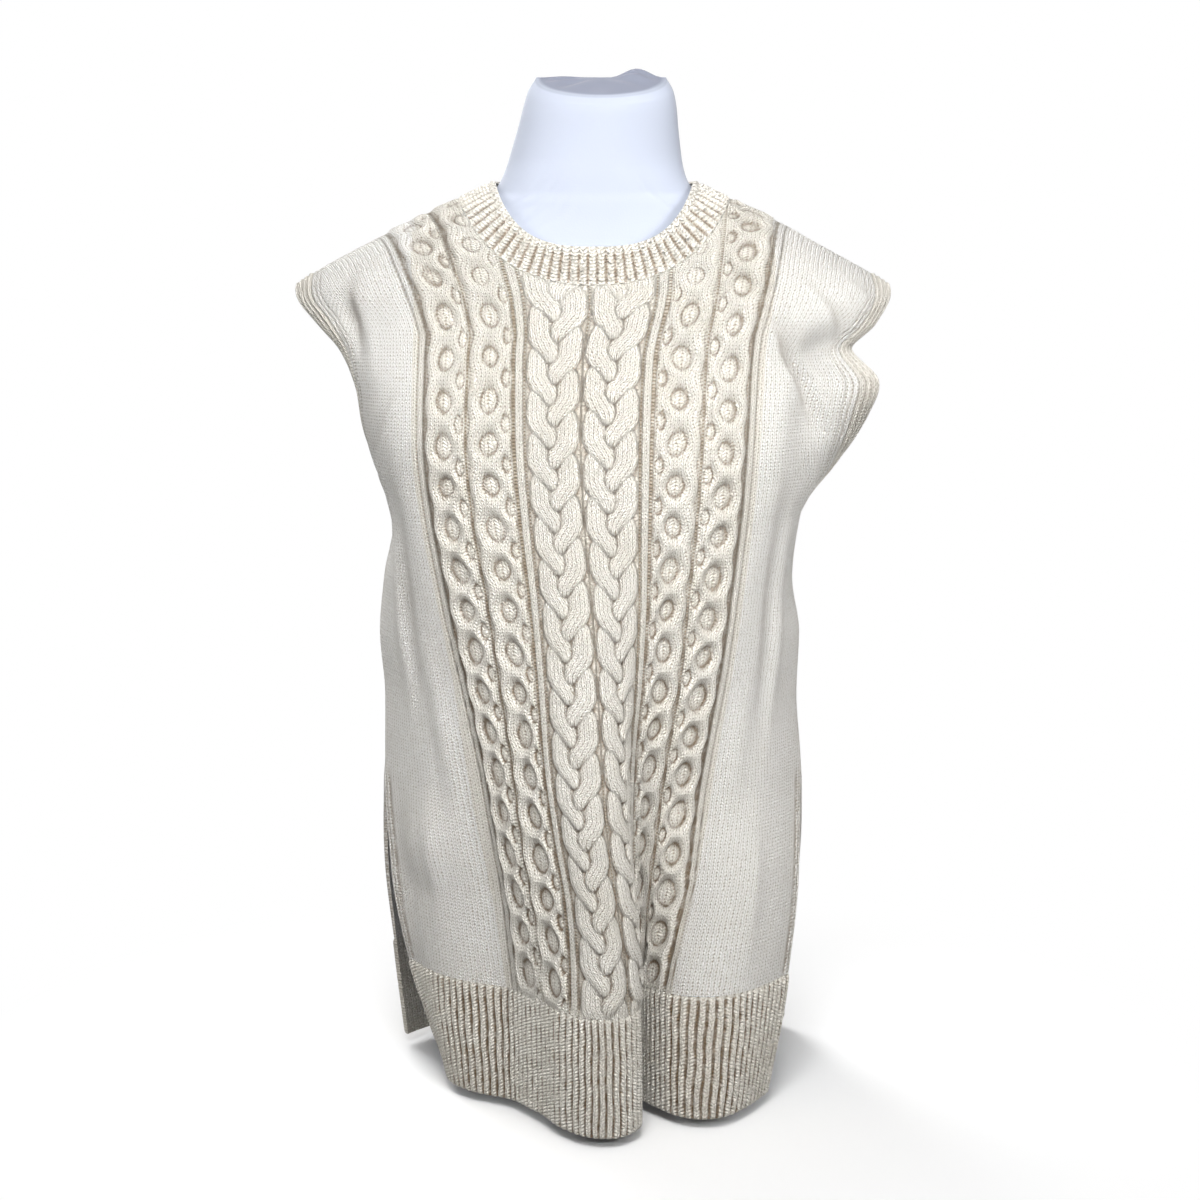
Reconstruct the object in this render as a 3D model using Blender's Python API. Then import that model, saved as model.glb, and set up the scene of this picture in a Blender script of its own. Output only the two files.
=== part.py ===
"""Sweater vest worn on a limbless dress form.

A long cable-knit vest: front and back panels joined at the shoulders and down the sides to the
slits, a deep ribbed hem on each panel, a ribbed neckband and a ribbed band round each armhole.
The cloth is a thin wall that hangs from the form's shoulders and stands clear of it all over.

Flat coordinates of the cloth: s runs across from the centre line, h runs up from the hem.
Metres, +Z up, the front faces -Y, the form stands on z = 0.
"""

import math

import bmesh
import bpy
import numpy as np

# ------------------------------------------------------------------ sizes, metres
WALL = 0.003            # thickness of the knitted cloth
SEAM = 0.00035          # gap between two pieces where they are joined
CLEAR = 0.0009          # least gap between the cloth and the form
SETTLE = 0.0012         # how softly the cloth leaves the form

HALF_WIDTH = 0.250      # half the flat width of the vest
FIELD_S = 0.138         # half the flat width of the cable field on the front
BAND = 0.022            # width of the armhole bands
NECKBAND = 0.032        # width of the neckband
HEM_Z = 0.009           # lower edge of the hem
RIB = 0.098             # height of the hem rib
SLIT_Z = 0.277          # top of the side slits
UNDERARM_Z = 0.512      # lower end of the armhole seam
ARMHOLE_CORNER = 0.034  # height over which the armhole seam rounds its corner

NECK_Z = 0.776          # shoulder line beside the neckband
NECK_S = 0.106          # half the width of the neck seam on the shoulder line
SHOULDER_SLOPE = 0.515  # fall of the shoulder line per metre of cloth
RIDGE_Y = 0.010         # the shoulder line's place front to back
RIDGE_R = 0.052         # height over which the cloth rounds the shoulder
FRONT_DROP = 0.101      # how far the front neck seam dips below the shoulder line's end
BACK_DROP = 0.041       # the same at the back

STEP_Z = 0.005          # spacing of the worked-out sections
STEP_S = 0.002          # spacing of the points in a section
LINE_BLEND = 17         # points over which the slide of the cable lines is evened out


def table(columns, *rows):
    """A small table with named columns, its rows sorted by the first."""
    rows = sorted(rows)
    names = columns.split()
    return {name: np.array([row[i] for row in rows], float) for i, name in enumerate(names)}


# The form's sections: half width, front and back faces, and how square the oval is.
FORM = table(
    "z half front back power",
    (0.000, 0.100, -0.030, 0.080, 2.4),
    (0.030, 0.100, -0.030, 0.080, 2.4),
    (0.120, 0.142, -0.062, 0.096, 2.3),
    (0.225, 0.169, -0.092, 0.110, 2.2),
    (0.380, 0.140, -0.084, 0.084, 2.1),
    (0.480, 0.150, -0.106, 0.088, 2.1),
    (0.560, 0.163, -0.118, 0.094, 2.2),
    (0.640, 0.180, -0.096, 0.098, 2.3),
    (0.690, 0.192, -0.072, 0.088, 2.3),
    (0.715, 0.194, -0.062, 0.080, 2.3),
    (0.733, 0.187, -0.056, 0.073, 2.2),
    (0.745, 0.173, -0.053, 0.069, 2.1),
    (0.759, 0.146, -0.051, 0.065, 2.0),
    (0.773, 0.112, -0.050, 0.062, 2.0),
    (0.783, 0.088, -0.049, 0.059, 2.0),
    (0.798, 0.078, -0.049, 0.056, 2.0),
    (0.830, 0.070, -0.048, 0.052, 2.0),
    (0.868, 0.062, -0.046, 0.048, 2.0),
    (0.880, 0.055, -0.040, 0.042, 2.0),
)
FORM_RINGS = 64
FORM_SIDES = 60

# The side edges where front and back meet, and the rest of the way down and up.
EDGES = table(
    "z left_x left_y right_x right_y",
    (0.000, -0.172, 0.030, 0.165, 0.030),
    (0.100, -0.179, 0.020, 0.173, 0.020),
    (0.190, -0.184, 0.013, 0.180, 0.013),
    (0.277, -0.184, 0.008, 0.181, 0.008),
    (0.345, -0.183, 0.008, 0.176, 0.008),
    (0.400, -0.187, 0.008, 0.178, 0.008),
    (0.450, -0.182, 0.008, 0.170, 0.008),
    (0.508, -0.167, 0.008, 0.175, 0.008),
    (0.528, -0.169, 0.008, 0.186, 0.008),
    (0.550, -0.180, 0.009, 0.205, 0.009),
    (0.600, -0.201, 0.010, 0.233, 0.010),
    (0.622, -0.208, 0.010, 0.240, 0.010),
    (0.652, -0.220, 0.010, 0.216, 0.010),
    (0.675, -0.239, 0.010, 0.240, 0.010),
    (0.700, -0.257, 0.010, 0.255, 0.010),
    (0.740, -0.261, 0.010, 0.252, 0.010),
    (0.850, -0.270, 0.010, 0.264, 0.010),
)

# Where the lines between the cables run down each panel, from the cable field's left edge to its
# right edge; the two panels agree from the shoulders up.
CABLE_LINES = (-0.138, -0.109, -0.076, -0.054, 0.000, 0.054, 0.076, 0.109, 0.138)
FRONT_FIELD = table(
    "z line_1 line_2 line_3 line_4 line_5 line_6 line_7 line_8 line_9",
    (0.000, -0.071, -0.054, -0.032, -0.014, 0.027, 0.035, 0.038, 0.048, 0.067),
    (0.100, -0.073, -0.056, -0.033, -0.015, 0.026, 0.034, 0.037, 0.048, 0.067),
    (0.150, -0.080, -0.061, -0.035, -0.016, 0.024, 0.033, 0.037, 0.053, 0.074),
    (0.200, -0.088, -0.068, -0.040, -0.020, 0.019, 0.031, 0.036, 0.062, 0.087),
    (0.250, -0.099, -0.076, -0.046, -0.029, 0.012, 0.030, 0.040, 0.070, 0.095),
    (0.310, -0.109, -0.085, -0.052, -0.038, 0.007, 0.031, 0.046, 0.079, 0.104),
    (0.380, -0.119, -0.096, -0.062, -0.043, 0.003, 0.037, 0.055, 0.090, 0.116),
    (0.450, -0.132, -0.107, -0.071, -0.049, -0.002, 0.041, 0.060, 0.097, 0.125),
    (0.515, -0.143, -0.118, -0.082, -0.056, -0.008, 0.042, 0.065, 0.105, 0.131),
    (0.580, -0.149, -0.124, -0.087, -0.061, -0.011, 0.043, 0.069, 0.110, 0.136),
    (0.645, -0.149, -0.122, -0.086, -0.062, -0.009, 0.046, 0.073, 0.113, 0.141),
    (0.700, -0.149, -0.118, -0.082, -0.058, 0.000, 0.058, 0.082, 0.118, 0.149),
    (0.720, -0.150, -0.119, -0.083, -0.059, 0.000, 0.059, 0.083, 0.119, 0.150),
    (0.850, -0.153, -0.121, -0.084, -0.060, 0.000, 0.060, 0.084, 0.121, 0.153),
)
BACK_FIELD = table(
    "z line_1 line_2 line_3 line_4 line_5 line_6 line_7 line_8 line_9",
    (0.000, -0.104, -0.083, -0.058, -0.042, -0.003, 0.038, 0.054, 0.079, 0.100),
    (0.200, -0.126, -0.100, -0.070, -0.050, -0.001, 0.048, 0.068, 0.099, 0.126),
    (0.420, -0.127, -0.101, -0.071, -0.051, -0.003, 0.048, 0.068, 0.099, 0.126),
    (0.600, -0.133, -0.106, -0.074, -0.053, -0.002, 0.050, 0.071, 0.103, 0.130),
    (0.660, -0.142, -0.113, -0.079, -0.056, 0.000, 0.055, 0.077, 0.111, 0.139),
    (0.700, -0.149, -0.118, -0.082, -0.058, 0.000, 0.058, 0.082, 0.118, 0.149),
    (0.720, -0.150, -0.119, -0.083, -0.059, 0.000, 0.059, 0.083, 0.119, 0.150),
    (0.850, -0.153, -0.121, -0.084, -0.060, 0.000, 0.060, 0.084, 0.121, 0.153),
)

# How far each panel's edge stands off the shared line: below the slits and round the armholes.
FRONT_EDGES = table(
    "z left_x left_y right_x right_y",
    (0.000, 0.044, -0.040, -0.020, -0.116),
    (0.100, 0.018, -0.024, -0.006, -0.074),
    (0.200, 0.008, -0.010, -0.001, -0.030),
    (0.277, 0.000, 0.000, 0.000, 0.000),
    (0.536, 0.000, 0.000, 0.000, 0.000),
    (0.580, 0.003, -0.026, 0.000, -0.032),
    (0.620, 0.008, -0.044, 0.000, -0.056),
    (0.660, 0.006, -0.044, 0.000, -0.046),
    (0.700, 0.000, -0.028, 0.000, -0.028),
    (0.850, 0.000, -0.028, 0.000, -0.028),
)
BACK_EDGES = table(
    "z left_x left_y right_x right_y",
    (0.000, -0.002, 0.040, 0.013, 0.085),
    (0.100, -0.003, 0.030, 0.003, 0.055),
    (0.200, -0.003, 0.012, 0.003, 0.020),
    (0.277, 0.000, 0.000, 0.000, 0.000),
    (0.536, 0.000, 0.000, 0.000, 0.000),
    (0.580, 0.000, 0.026, -0.014, 0.028),
    (0.620, 0.000, 0.042, -0.024, 0.044),
    (0.660, 0.000, 0.044, -0.004, 0.046),
    (0.700, 0.000, 0.030, 0.000, 0.030),
    (0.850, 0.000, 0.030, 0.000, 0.030),
)

# How a section bends from its middle to each edge, in degrees, how late the bend comes and how
# far front to back its middle stands.
FRONT_BEND = table(
    "z left right late mid",
    (0.000, 60.0, 45.0, 1.3, -0.182),
    (0.110, 62.0, 50.0, 1.2, -0.168),
    (0.200, 62.0, 58.0, 1.0, -0.160),
    (0.277, 62.0, 62.0, 0.9, -0.154),
    (0.350, 68.0, 68.0, 0.9, -0.148),
    (0.420, 78.0, 78.0, 1.1, -0.142),
    (0.500, 88.0, 85.0, 1.6, -0.135),
    (0.560, 76.0, 66.0, 2.2, -0.130),
    (0.600, 68.0, 55.0, 2.5, -0.122),
    (0.640, 58.0, 48.0, 2.6, -0.108),
    (0.690, 42.0, 42.0, 2.5, -0.090),
    (0.730, 38.0, 38.0, 2.5, -0.078),
    (0.760, 36.0, 36.0, 2.5, -0.071),
    (0.850, 30.0, 30.0, 2.5, -0.060),
)
BACK_BEND = table(
    "z left right late mid",
    (0.000, 58.0, 58.0, 1.8, 0.150),
    (0.110, 66.0, 66.0, 1.9, 0.139),
    (0.200, 76.0, 76.0, 2.0, 0.131),
    (0.277, 84.0, 84.0, 2.1, 0.124),
    (0.420, 88.0, 88.0, 2.2, 0.117),
    (0.515, 92.0, 92.0, 2.6, 0.112),
    (0.600, 70.0, 66.0, 2.8, 0.110),
    (0.650, 56.0, 54.0, 2.7, 0.106),
    (0.690, 44.0, 44.0, 2.6, 0.097),
    (0.730, 40.0, 40.0, 2.5, 0.086),
    (0.760, 38.0, 38.0, 2.5, 0.077),
    (0.850, 30.0, 30.0, 2.5, 0.062),
)

# Flanks of the folds: the cloth turns by so many degrees about s, most at z, fading above and below.
FRONT_FOLDS = table(
    "s half_width turn z above below",
    (-0.086, 0.084, -48.0, 0.000, 0.56, 0.10),
    (-0.074, 0.040, -30.0, 0.000, 0.24, 0.10),
    (0.034, 0.064, 98.0, 0.000, 0.54, 0.10),
    (0.130, 0.070, -86.0, 0.000, 0.42, 0.10),
    (-0.222, 0.036, -24.0, 0.000, 0.20, 0.10),
    (-0.150, 0.040, 16.0, 0.030, 0.30, 0.20),
    (0.168, 0.034, 30.0, 0.610, 0.08, 0.14),
    (0.216, 0.036, -52.0, 0.620, 0.07, 0.10),
    (-0.222, 0.030, 26.0, 0.676, 0.03, 0.05),
    (-0.178, 0.040, -14.0, 0.560, 0.12, 0.18),
)
BACK_FOLDS = table(
    "s half_width turn z above below",
    (-0.150, 0.052, -46.0, 0.000, 0.40, 0.10),
    (-0.072, 0.050, 62.0, 0.000, 0.36, 0.10),
    (0.030, 0.056, -60.0, 0.000, 0.46, 0.10),
    (0.118, 0.050, 58.0, 0.000, 0.40, 0.10),
    (0.188, 0.040, -28.0, 0.000, 0.30, 0.10),
    (0.205, 0.036, -22.0, 0.600, 0.09, 0.16),
    (-0.200, 0.040, 18.0, 0.590, 0.08, 0.14),
)

# Colours, as linear red, green and blue.
CREAM = (0.700, 0.655, 0.560)
JERSEY = (0.760, 0.800, 0.930)


# ------------------------------------------------------------------ small functions
def ease(x):
    """A smooth step from 0 to 1."""
    x = np.clip(x, 0.0, 1.0)
    return x * x * (3.0 - 2.0 * x)


def hump(x):
    """1 at the middle, falling smoothly to 0 at -1 and 1."""
    return np.cos(np.clip(x, -1.0, 1.0) * math.pi / 2.0) ** 2


def read(rows, column, z):
    """A column of a table at any height, joined by a curve that never overshoots its rows."""
    x = rows["z"]
    y = rows[column]
    h = np.diff(x)
    slope = np.diff(y) / h
    m = np.zeros(len(x))
    m[0] = slope[0]
    m[-1] = slope[-1]
    for i in range(1, len(x) - 1):
        if slope[i - 1] * slope[i] > 0.0:
            a = 2.0 * h[i] + h[i - 1]
            b = h[i] + 2.0 * h[i - 1]
            m[i] = (a + b) / (a / slope[i - 1] + b / slope[i])
    z = np.clip(np.asarray(z, float), x[0], x[-1])
    k = np.clip(np.searchsorted(x, z, side="right") - 1, 0, len(h) - 1)
    t = (z - x[k]) / h[k]
    near = (1.0 + 2.0 * t) * (1.0 - t) ** 2 * y[k] + t * (1.0 - t) ** 2 * h[k] * m[k]
    far = t * t * (3.0 - 2.0 * t) * y[k + 1] + t * t * (t - 1.0) * h[k] * m[k + 1]
    return near + far


def unit(v):
    """Vectors of length 1."""
    return v / np.maximum(np.linalg.norm(v, axis=-1, keepdims=True), 1e-12)


# ------------------------------------------------------------------ the form
def form_level(p):
    """1 on the form's surface, less inside, more outside."""
    z = p[..., 2]
    half = read(FORM, "half", z)
    front = read(FORM, "front", z)
    back = read(FORM, "back", z)
    power = read(FORM, "power", z)
    across = np.abs(p[..., 0] / half) ** power
    deep = np.abs((p[..., 1] - (front + back) / 2.0) * 2.0 / (back - front)) ** power
    return (across + deep) ** (1.0 / power)


def off_form(p):
    """Distance of points from the form, and the direction straight away from it."""
    h = 0.0005
    slope = np.zeros(p.shape)
    for k in range(3):
        step = np.zeros(3)
        step[k] = h
        slope[..., k] = (form_level(p + step) - form_level(p - step)) / (2.0 * h)
    size = np.maximum(np.linalg.norm(slope, axis=-1), 1e-6)
    return (form_level(p) - 1.0) / size, slope / size[..., None]


# ------------------------------------------------------------------ the cloth's sections
def fold_turns(folds, s, z):
    """Extra turn of the cloth from the folds, in radians."""
    total = np.zeros(np.broadcast(s, z).shape)
    for i in range(len(folds["s"])):
        up = z - folds["z"][i]
        reach = np.where(up > 0.0, folds["above"][i], folds["below"][i])
        height = ease(1.0 - np.abs(up) / reach)
        total += folds["turn"][i] * height * hump((s - folds["s"][i]) / folds["half_width"][i])
    return np.radians(total)


def walk(turn):
    """Places reached by stepping along a section whose heading is turn."""
    mid = (turn[:, 1:] + turn[:, :-1]) / 2.0
    zero = np.zeros((len(turn), 1))
    x = np.concatenate([zero, np.cumsum(np.cos(mid), axis=1)], axis=1) * STEP_S
    y = np.concatenate([zero, np.cumsum(np.sin(mid), axis=1)], axis=1) * STEP_S
    return x, y


def span(x, y):
    """Straight distance between a section's two ends."""
    return np.hypot(x[:, -1] - x[:, 0], y[:, -1] - y[:, 0])


def halve(low, high, over):
    """One step of closing in on a number: over says where the middle is too large."""
    middle = (low + high) / 2.0
    return np.where(over, low, middle), np.where(over, middle, high)


def hang(base, extra, stretch, ends):
    """A section whose bend makes its two ends land where they belong."""
    want = np.hypot(ends["right_x"] - ends["left_x"], ends["right_y"] - ends["left_y"])
    low = np.full(len(LEVELS), 0.2)
    high = np.full(len(LEVELS), 2.2)
    for _ in range(18):
        share = (low + high) / 2.0
        x, y = walk(base * share[:, None] + extra)
        low, high = halve(low, high, span(x, y) * stretch < want)
    run_x = x[:, -1] - x[:, 0]
    run_y = y[:, -1] - y[:, 0]
    aim_x = ends["right_x"] - ends["left_x"]
    aim_y = ends["right_y"] - ends["left_y"]
    size = run_x ** 2 + run_y ** 2
    c = ((run_x * aim_x + run_y * aim_y) / size)[:, None]
    t = ((run_x * aim_y - run_y * aim_x) / size)[:, None]
    return ends["left_x"][:, None] + c * x - t * y, ends["left_y"][:, None] + t * x + c * y


def sections(bend, folds, edges, side):
    """x and y of a panel over the heights LEVELS and the places ACROSS, its width nearly kept."""
    z = LEVELS[:, None]
    s = ACROSS[None, :]
    u = s / HALF_WIDTH
    degrees = np.where(u < 0.0, read(bend, "left", z), read(bend, "right", z))
    base = side * np.radians(degrees) * np.sign(u) * np.abs(u) ** read(bend, "late", z)
    extra = side * fold_turns(folds, s, z)
    middle = read(bend, "mid", LEVELS)
    ends = {}
    for name in ("left_x", "left_y", "right_x", "right_y"):
        ends[name] = read(EDGES, name, LEVELS) + read(edges, name, LEVELS)
    low = np.full(len(LEVELS), 0.85)
    high = np.full(len(LEVELS), 1.25)
    for _ in range(12):
        x, y = hang(base, extra, (low + high) / 2.0, ends)
        low, high = halve(low, high, (y[:, len(ACROSS) // 2] - middle) * side < 0.0)
    return x, y


def draw_in(section, field):
    """Slide a section sideways so that the lines between the cables run where they should."""
    x = section[0]
    marks = np.array([-HALF_WIDTH, *CABLE_LINES, HALF_WIDTH])
    wanted = [x[:, 0]] + [read(field, f"line_{k + 1}", LEVELS) for k in range(9)] + [x[:, -1]]
    off = np.array([line - x[:, int(round((mark + HALF_WIDTH) / STEP_S))]
                    for line, mark in zip(wanted, marks)])
    soften = np.hanning(LINE_BLEND) / np.hanning(LINE_BLEND).sum()
    out = x.copy()
    for i in range(len(LEVELS)):
        slide = np.interp(ACROSS, marks, off[:, i])
        around = np.pad(slide, LINE_BLEND // 2, mode="reflect", reflect_type="odd")
        out[i] += np.convolve(around, soften, mode="valid")
    return out, section[1]


LEVELS = np.arange(0.0, 0.86, STEP_Z)
ACROSS = np.linspace(-HALF_WIDTH, HALF_WIDTH, int(round(2.0 * HALF_WIDTH / STEP_S)) + 1)
FRONT = draw_in(sections(FRONT_BEND, FRONT_FOLDS, FRONT_EDGES, 1.0), FRONT_FIELD)
BACK = draw_in(sections(BACK_BEND, BACK_FOLDS, BACK_EDGES, -1.0), BACK_FIELD)


def look_up(grid, s, z):
    """A section grid read between its levels by a smooth curve and between its places by a line."""
    f = np.clip(z / STEP_Z, 0.0, len(LEVELS) - 1.001)
    i = np.floor(f).astype(int)
    t = f - i
    g = np.clip((s + HALF_WIDTH) / STEP_S, 0.0, len(ACROSS) - 1.001)
    j = np.floor(g).astype(int)
    r = g - j
    total = np.zeros(np.shape(f + g))
    weights = (
        (-1, (-t + 2.0 * t ** 2 - t ** 3) / 2.0),
        (0, (2.0 - 5.0 * t ** 2 + 3.0 * t ** 3) / 2.0),
        (1, (t + 4.0 * t ** 2 - 3.0 * t ** 3) / 2.0),
        (2, (-t ** 2 + t ** 3) / 2.0),
    )
    for step, weight in weights:
        row = np.clip(i + step, 0, len(LEVELS) - 1)
        total += weight * ((1.0 - r) * grid[row, j] + r * grid[row, j + 1])
    return total


def shoulder(s):
    """Height of the shoulder line, in cloth and in space, over a place across."""
    return NECK_Z - SHOULDER_SLOPE * (np.abs(s) - NECK_S)


def lay(panel, s, h):
    """The cloth's inner face at flat coordinates s and h."""
    down = np.maximum(shoulder(s) - h, 0.0)
    turn = np.minimum(down / RIDGE_R, math.pi / 2.0)
    fall = RIDGE_R * (1.0 - np.cos(turn)) + np.maximum(down - RIDGE_R * math.pi / 2.0, 0.0)
    z = shoulder(s) - fall
    x = look_up(panel[0], s, z)
    y = RIDGE_Y + (look_up(panel[1], s, z) - RIDGE_Y) * np.sin(turn)
    p = np.stack([x, y, z], axis=-1)
    for _ in range(2):
        gap, away = off_form(p)
        short = (CLEAR - gap) / SETTLE
        push = SETTLE * np.logaddexp(0.0, np.clip(short, -30.0, 60.0))
        p = p + away * np.where(short > -8.0, push, 0.0)[..., None]
    return p


def cloth_height(z):
    """Flat height h of a place at height z on the hanging part of the cloth."""
    return z - RIDGE_R * (math.pi / 2.0 - 1.0)


HEM_H = cloth_height(HEM_Z)
RIB_H = HEM_H + RIB
UNDERARM_H = cloth_height(UNDERARM_Z)
ARM_S = HALF_WIDTH - BAND
YOKE_H = NECK_Z - FRONT_DROP - 0.012


def facing(panel, s, h):
    """The direction straight out of the cloth."""
    e = 0.0008
    right = np.minimum(s + e, HALF_WIDTH)
    left = np.maximum(s - e, -HALF_WIDTH)
    up = np.minimum(h + e, shoulder(s))
    across = lay(panel, right, h) - lay(panel, left, h)
    along = lay(panel, s, up) - lay(panel, s, h - e)
    out = np.cross(across, along)
    return unit(out if panel is FRONT else -out)


def shared(panel, s, h):
    """Outward direction, made common to both panels where they are sewn together."""
    out = facing(panel, s, h)
    other = facing(BACK if panel is FRONT else FRONT, s, h)
    z = h + RIDGE_R * (math.pi / 2.0 - 1.0)
    joined = ease((z - SLIT_Z + 0.02) / 0.02) * (1.0 - ease((z - UNDERARM_Z - BAND) / 0.02))
    near = ease((np.abs(s) - HALF_WIDTH + 0.012) / 0.011)
    return unit(out + other * (joined * near)[..., None])


# ------------------------------------------------------------------ solids
def add_object(name, vertices, faces, colour):
    """A mesh object with its own material."""
    mesh = bpy.data.meshes.new(name)
    mesh.from_pydata([tuple(v) for v in vertices], [], faces)
    body = bmesh.new()
    body.from_mesh(mesh)
    bmesh.ops.recalc_face_normals(body, faces=body.faces)
    body.to_mesh(mesh)
    body.free()
    material = bpy.data.materials.new(name + "_material")
    material.use_nodes = True
    shader = material.node_tree.nodes["Principled BSDF"]
    shader.inputs["Base Color"].default_value = (*colour, 1.0)
    shader.inputs["Roughness"].default_value = 0.9
    mesh.materials.append(material)
    mesh.validate()
    mesh.update()
    item = bpy.data.objects.new(name, mesh)
    bpy.context.scene.collection.objects.link(item)
    return item


def split(vertices, corners):
    """A four-cornered face as two triangles, parted along its shorter diagonal."""
    a, b, c, d = corners
    if np.linalg.norm(vertices[a] - vertices[c]) <= np.linalg.norm(vertices[b] - vertices[d]):
        return [(a, b, c), (a, c, d)]
    return [(b, c, d), (b, d, a)]


def sheet(name, inner, outer, colour, ring=False):
    """A closed wall between two grids of points; a ring's last row meets its first."""
    rows, columns = inner.shape[:2]
    count = rows * columns
    vertices = np.concatenate([inner.reshape(-1, 3), outer.reshape(-1, 3)])
    faces = []
    spans = rows if ring else rows - 1
    for i in range(spans):
        k = (i + 1) % rows
        for j in range(columns - 1):
            a = i * columns + j
            b = i * columns + j + 1
            c = k * columns + j + 1
            d = k * columns + j
            faces += split(vertices, (a, d, c, b))
            faces += split(vertices, (a + count, b + count, c + count, d + count))
        for j in (0, columns - 1):
            a = i * columns + j
            d = k * columns + j
            faces += split(vertices, (a, d, d + count, a + count))
    if not ring:
        for i in (0, rows - 1):
            for j in range(columns - 1):
                a = i * columns + j
                faces += split(vertices, (a, a + 1, a + 1 + count, a + count))
    return add_object(name, vertices, faces, colour)


def wall(name, panel, s, h, colour):
    """A piece of one panel from its flat coordinates."""
    inner = lay(panel, s, h)
    outer = inner + WALL * shared(panel, s, h)
    return sheet(name, inner, outer, colour)


# ------------------------------------------------------------------ the pieces
def neck_seam(turn, drop):
    """The neck seam at turns of -90 to 90 degrees: its s and h, and the way towards the neckband."""
    s = NECK_S * np.sin(turn)
    below = drop * np.maximum(1.0 - np.abs(np.sin(turn)) ** 2.3, 0.0) ** 0.5
    e = 0.002
    wide = np.minimum(np.abs(turn) + e, math.pi / 2.0)
    tight = np.abs(turn) - e
    rise = drop * (np.maximum(1.0 - np.abs(np.sin(tight)) ** 2.3, 0.0) ** 0.5
                   - np.maximum(1.0 - np.sin(wide) ** 2.3, 0.0) ** 0.5)
    run = NECK_S * (np.sin(wide) - np.sin(tight))
    size = np.hypot(rise, run)
    return s, NECK_Z - below, -np.sign(turn) * rise / size, run / size


def armhole_seam():
    """The armhole seam from the underarm up: its s and h, the way towards the band, and its drop."""
    turn = np.linspace(0.0, math.pi / 2.0, 6)
    top = shoulder(ARM_S)
    corner = UNDERARM_H + ARMHOLE_CORNER * (1.0 - np.cos(turn))
    straight = np.linspace(corner[-1], YOKE_H, 7)[1:]
    yoke = YOKE_H + (top - YOKE_H) * np.linspace(0.0, 1.0, 7)[1:]
    h = np.concatenate([corner, straight, yoke])
    turn = np.concatenate([turn, np.full(12, math.pi / 2.0)])
    s = ARM_S + BAND * (1.0 - np.sin(turn))
    droop = SHOULDER_SLOPE * ease((h - top + 0.12) / 0.12)
    return s, h, np.sin(turn), np.cos(turn), droop


def build_panel(name, panel, drop, neck, arm, body_rows):
    """A front or back panel and the rib below it."""
    gap = SEAM / 2.0
    inside, seam_h, way_s, way_h = neck_seam(np.linspace(-1.0, 1.0, 2 * neck - 1) * math.pi / 2.0, drop)
    outside = np.linspace(NECK_S, ARM_S, arm)[1:]
    top_s = np.concatenate([-outside[::-1], inside - gap * way_s, outside])
    top_h = np.concatenate([shoulder(outside)[::-1], seam_h - gap * way_h, shoulder(outside)])
    top_h = np.minimum(top_h, shoulder(top_s) - gap)
    u = np.concatenate([-outside[::-1], inside, outside]) / ARM_S
    edge_s, edge_h, out_s, out_h, _ = armhole_seam()
    s_rows = []
    h_rows = []
    for h in np.linspace(RIB_H + gap, UNDERARM_H - gap, body_rows)[:-1]:
        s_rows.append(u * (HALF_WIDTH - gap))
        h_rows.append(np.full(len(u), h))
    for i in range(12):
        reach = edge_s[i] - gap * max(out_s[i], 1.0 - out_s[i])
        s_rows.append(u * reach)
        h_rows.append(np.full(len(u), edge_h[i] - gap * out_h[i]))
    for t in np.linspace(0.0, 1.0, 7)[1:]:
        side = u * (ARM_S - gap)
        free = np.concatenate([side[:arm - 1], top_s[arm - 1:1 - arm], side[1 - arm:]])
        s_rows.append(side + (free - side) * t)
        h_rows.append(edge_h[11] + (top_h - edge_h[11]) * t)
    s = np.array(s_rows)
    wall(name + "_panel", panel, s, np.array(h_rows), CREAM)
    rib_h = np.linspace(HEM_H, RIB_H - gap, 6)[:, None]
    wall(name + "_hem_rib", panel, np.tile(s[0], (6, 1)), np.tile(rib_h, (1, len(s[0]))), CREAM)


def build_neckband(front_neck, back_neck):
    """The ribbed neckband: a ring from the neck seam in to its free edge."""
    gap = SEAM / 2.0
    steps = np.linspace(0.0, 1.0, 4)
    inner = []
    outer = []
    runs = ((FRONT, FRONT_DROP, front_neck, 1.0), (BACK, BACK_DROP, back_neck, -1.0))
    for panel, drop, neck, hand in runs:
        for turn in np.linspace(-1.0, 1.0, 2 * neck - 1)[:-1] * hand * math.pi / 2.0:
            seam_s, seam_h, way_s, way_h = neck_seam(turn, drop)
            draw = -np.sign(turn) * 0.92 * NECKBAND * abs(math.sin(turn)) ** 1.5
            lift = NECKBAND * (0.5 + 0.5 * math.cos(turn) ** 2)
            s = seam_s + gap * way_s + draw * steps
            h = np.minimum(seam_h + gap * way_h + lift * steps, shoulder(s))
            p = lay(panel, s, h)
            inner.append(p)
            outer.append(p + WALL * facing(panel, s, h))
    return sheet("neckband", np.array(inner), np.array(outer), CREAM, ring=True)


def build_armhole_band(name, hand):
    """The ribbed band round one armhole: a ring from the armhole seam out to its free edge."""
    gap = SEAM / 2.0
    steps = np.linspace(0.0, 1.0, 3)
    run = list(zip(*armhole_seam()))
    inner = []
    outer = []
    for panel, order in ((FRONT, run), (BACK, run[-2:0:-1])):
        for seam_s, seam_h, way_s, way_h, droop in order:
            across = gap + (BAND - gap) * steps
            s = hand * np.minimum(seam_s + way_s * across, HALF_WIDTH)
            h = seam_h + way_h * across - droop * BAND * steps
            h = np.minimum(h, shoulder(s))
            p = lay(panel, s, h)
            inner.append(p)
            outer.append(p + WALL * shared(panel, s, h))
    return sheet(name, np.array(inner), np.array(outer), CREAM, ring=True)


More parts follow.
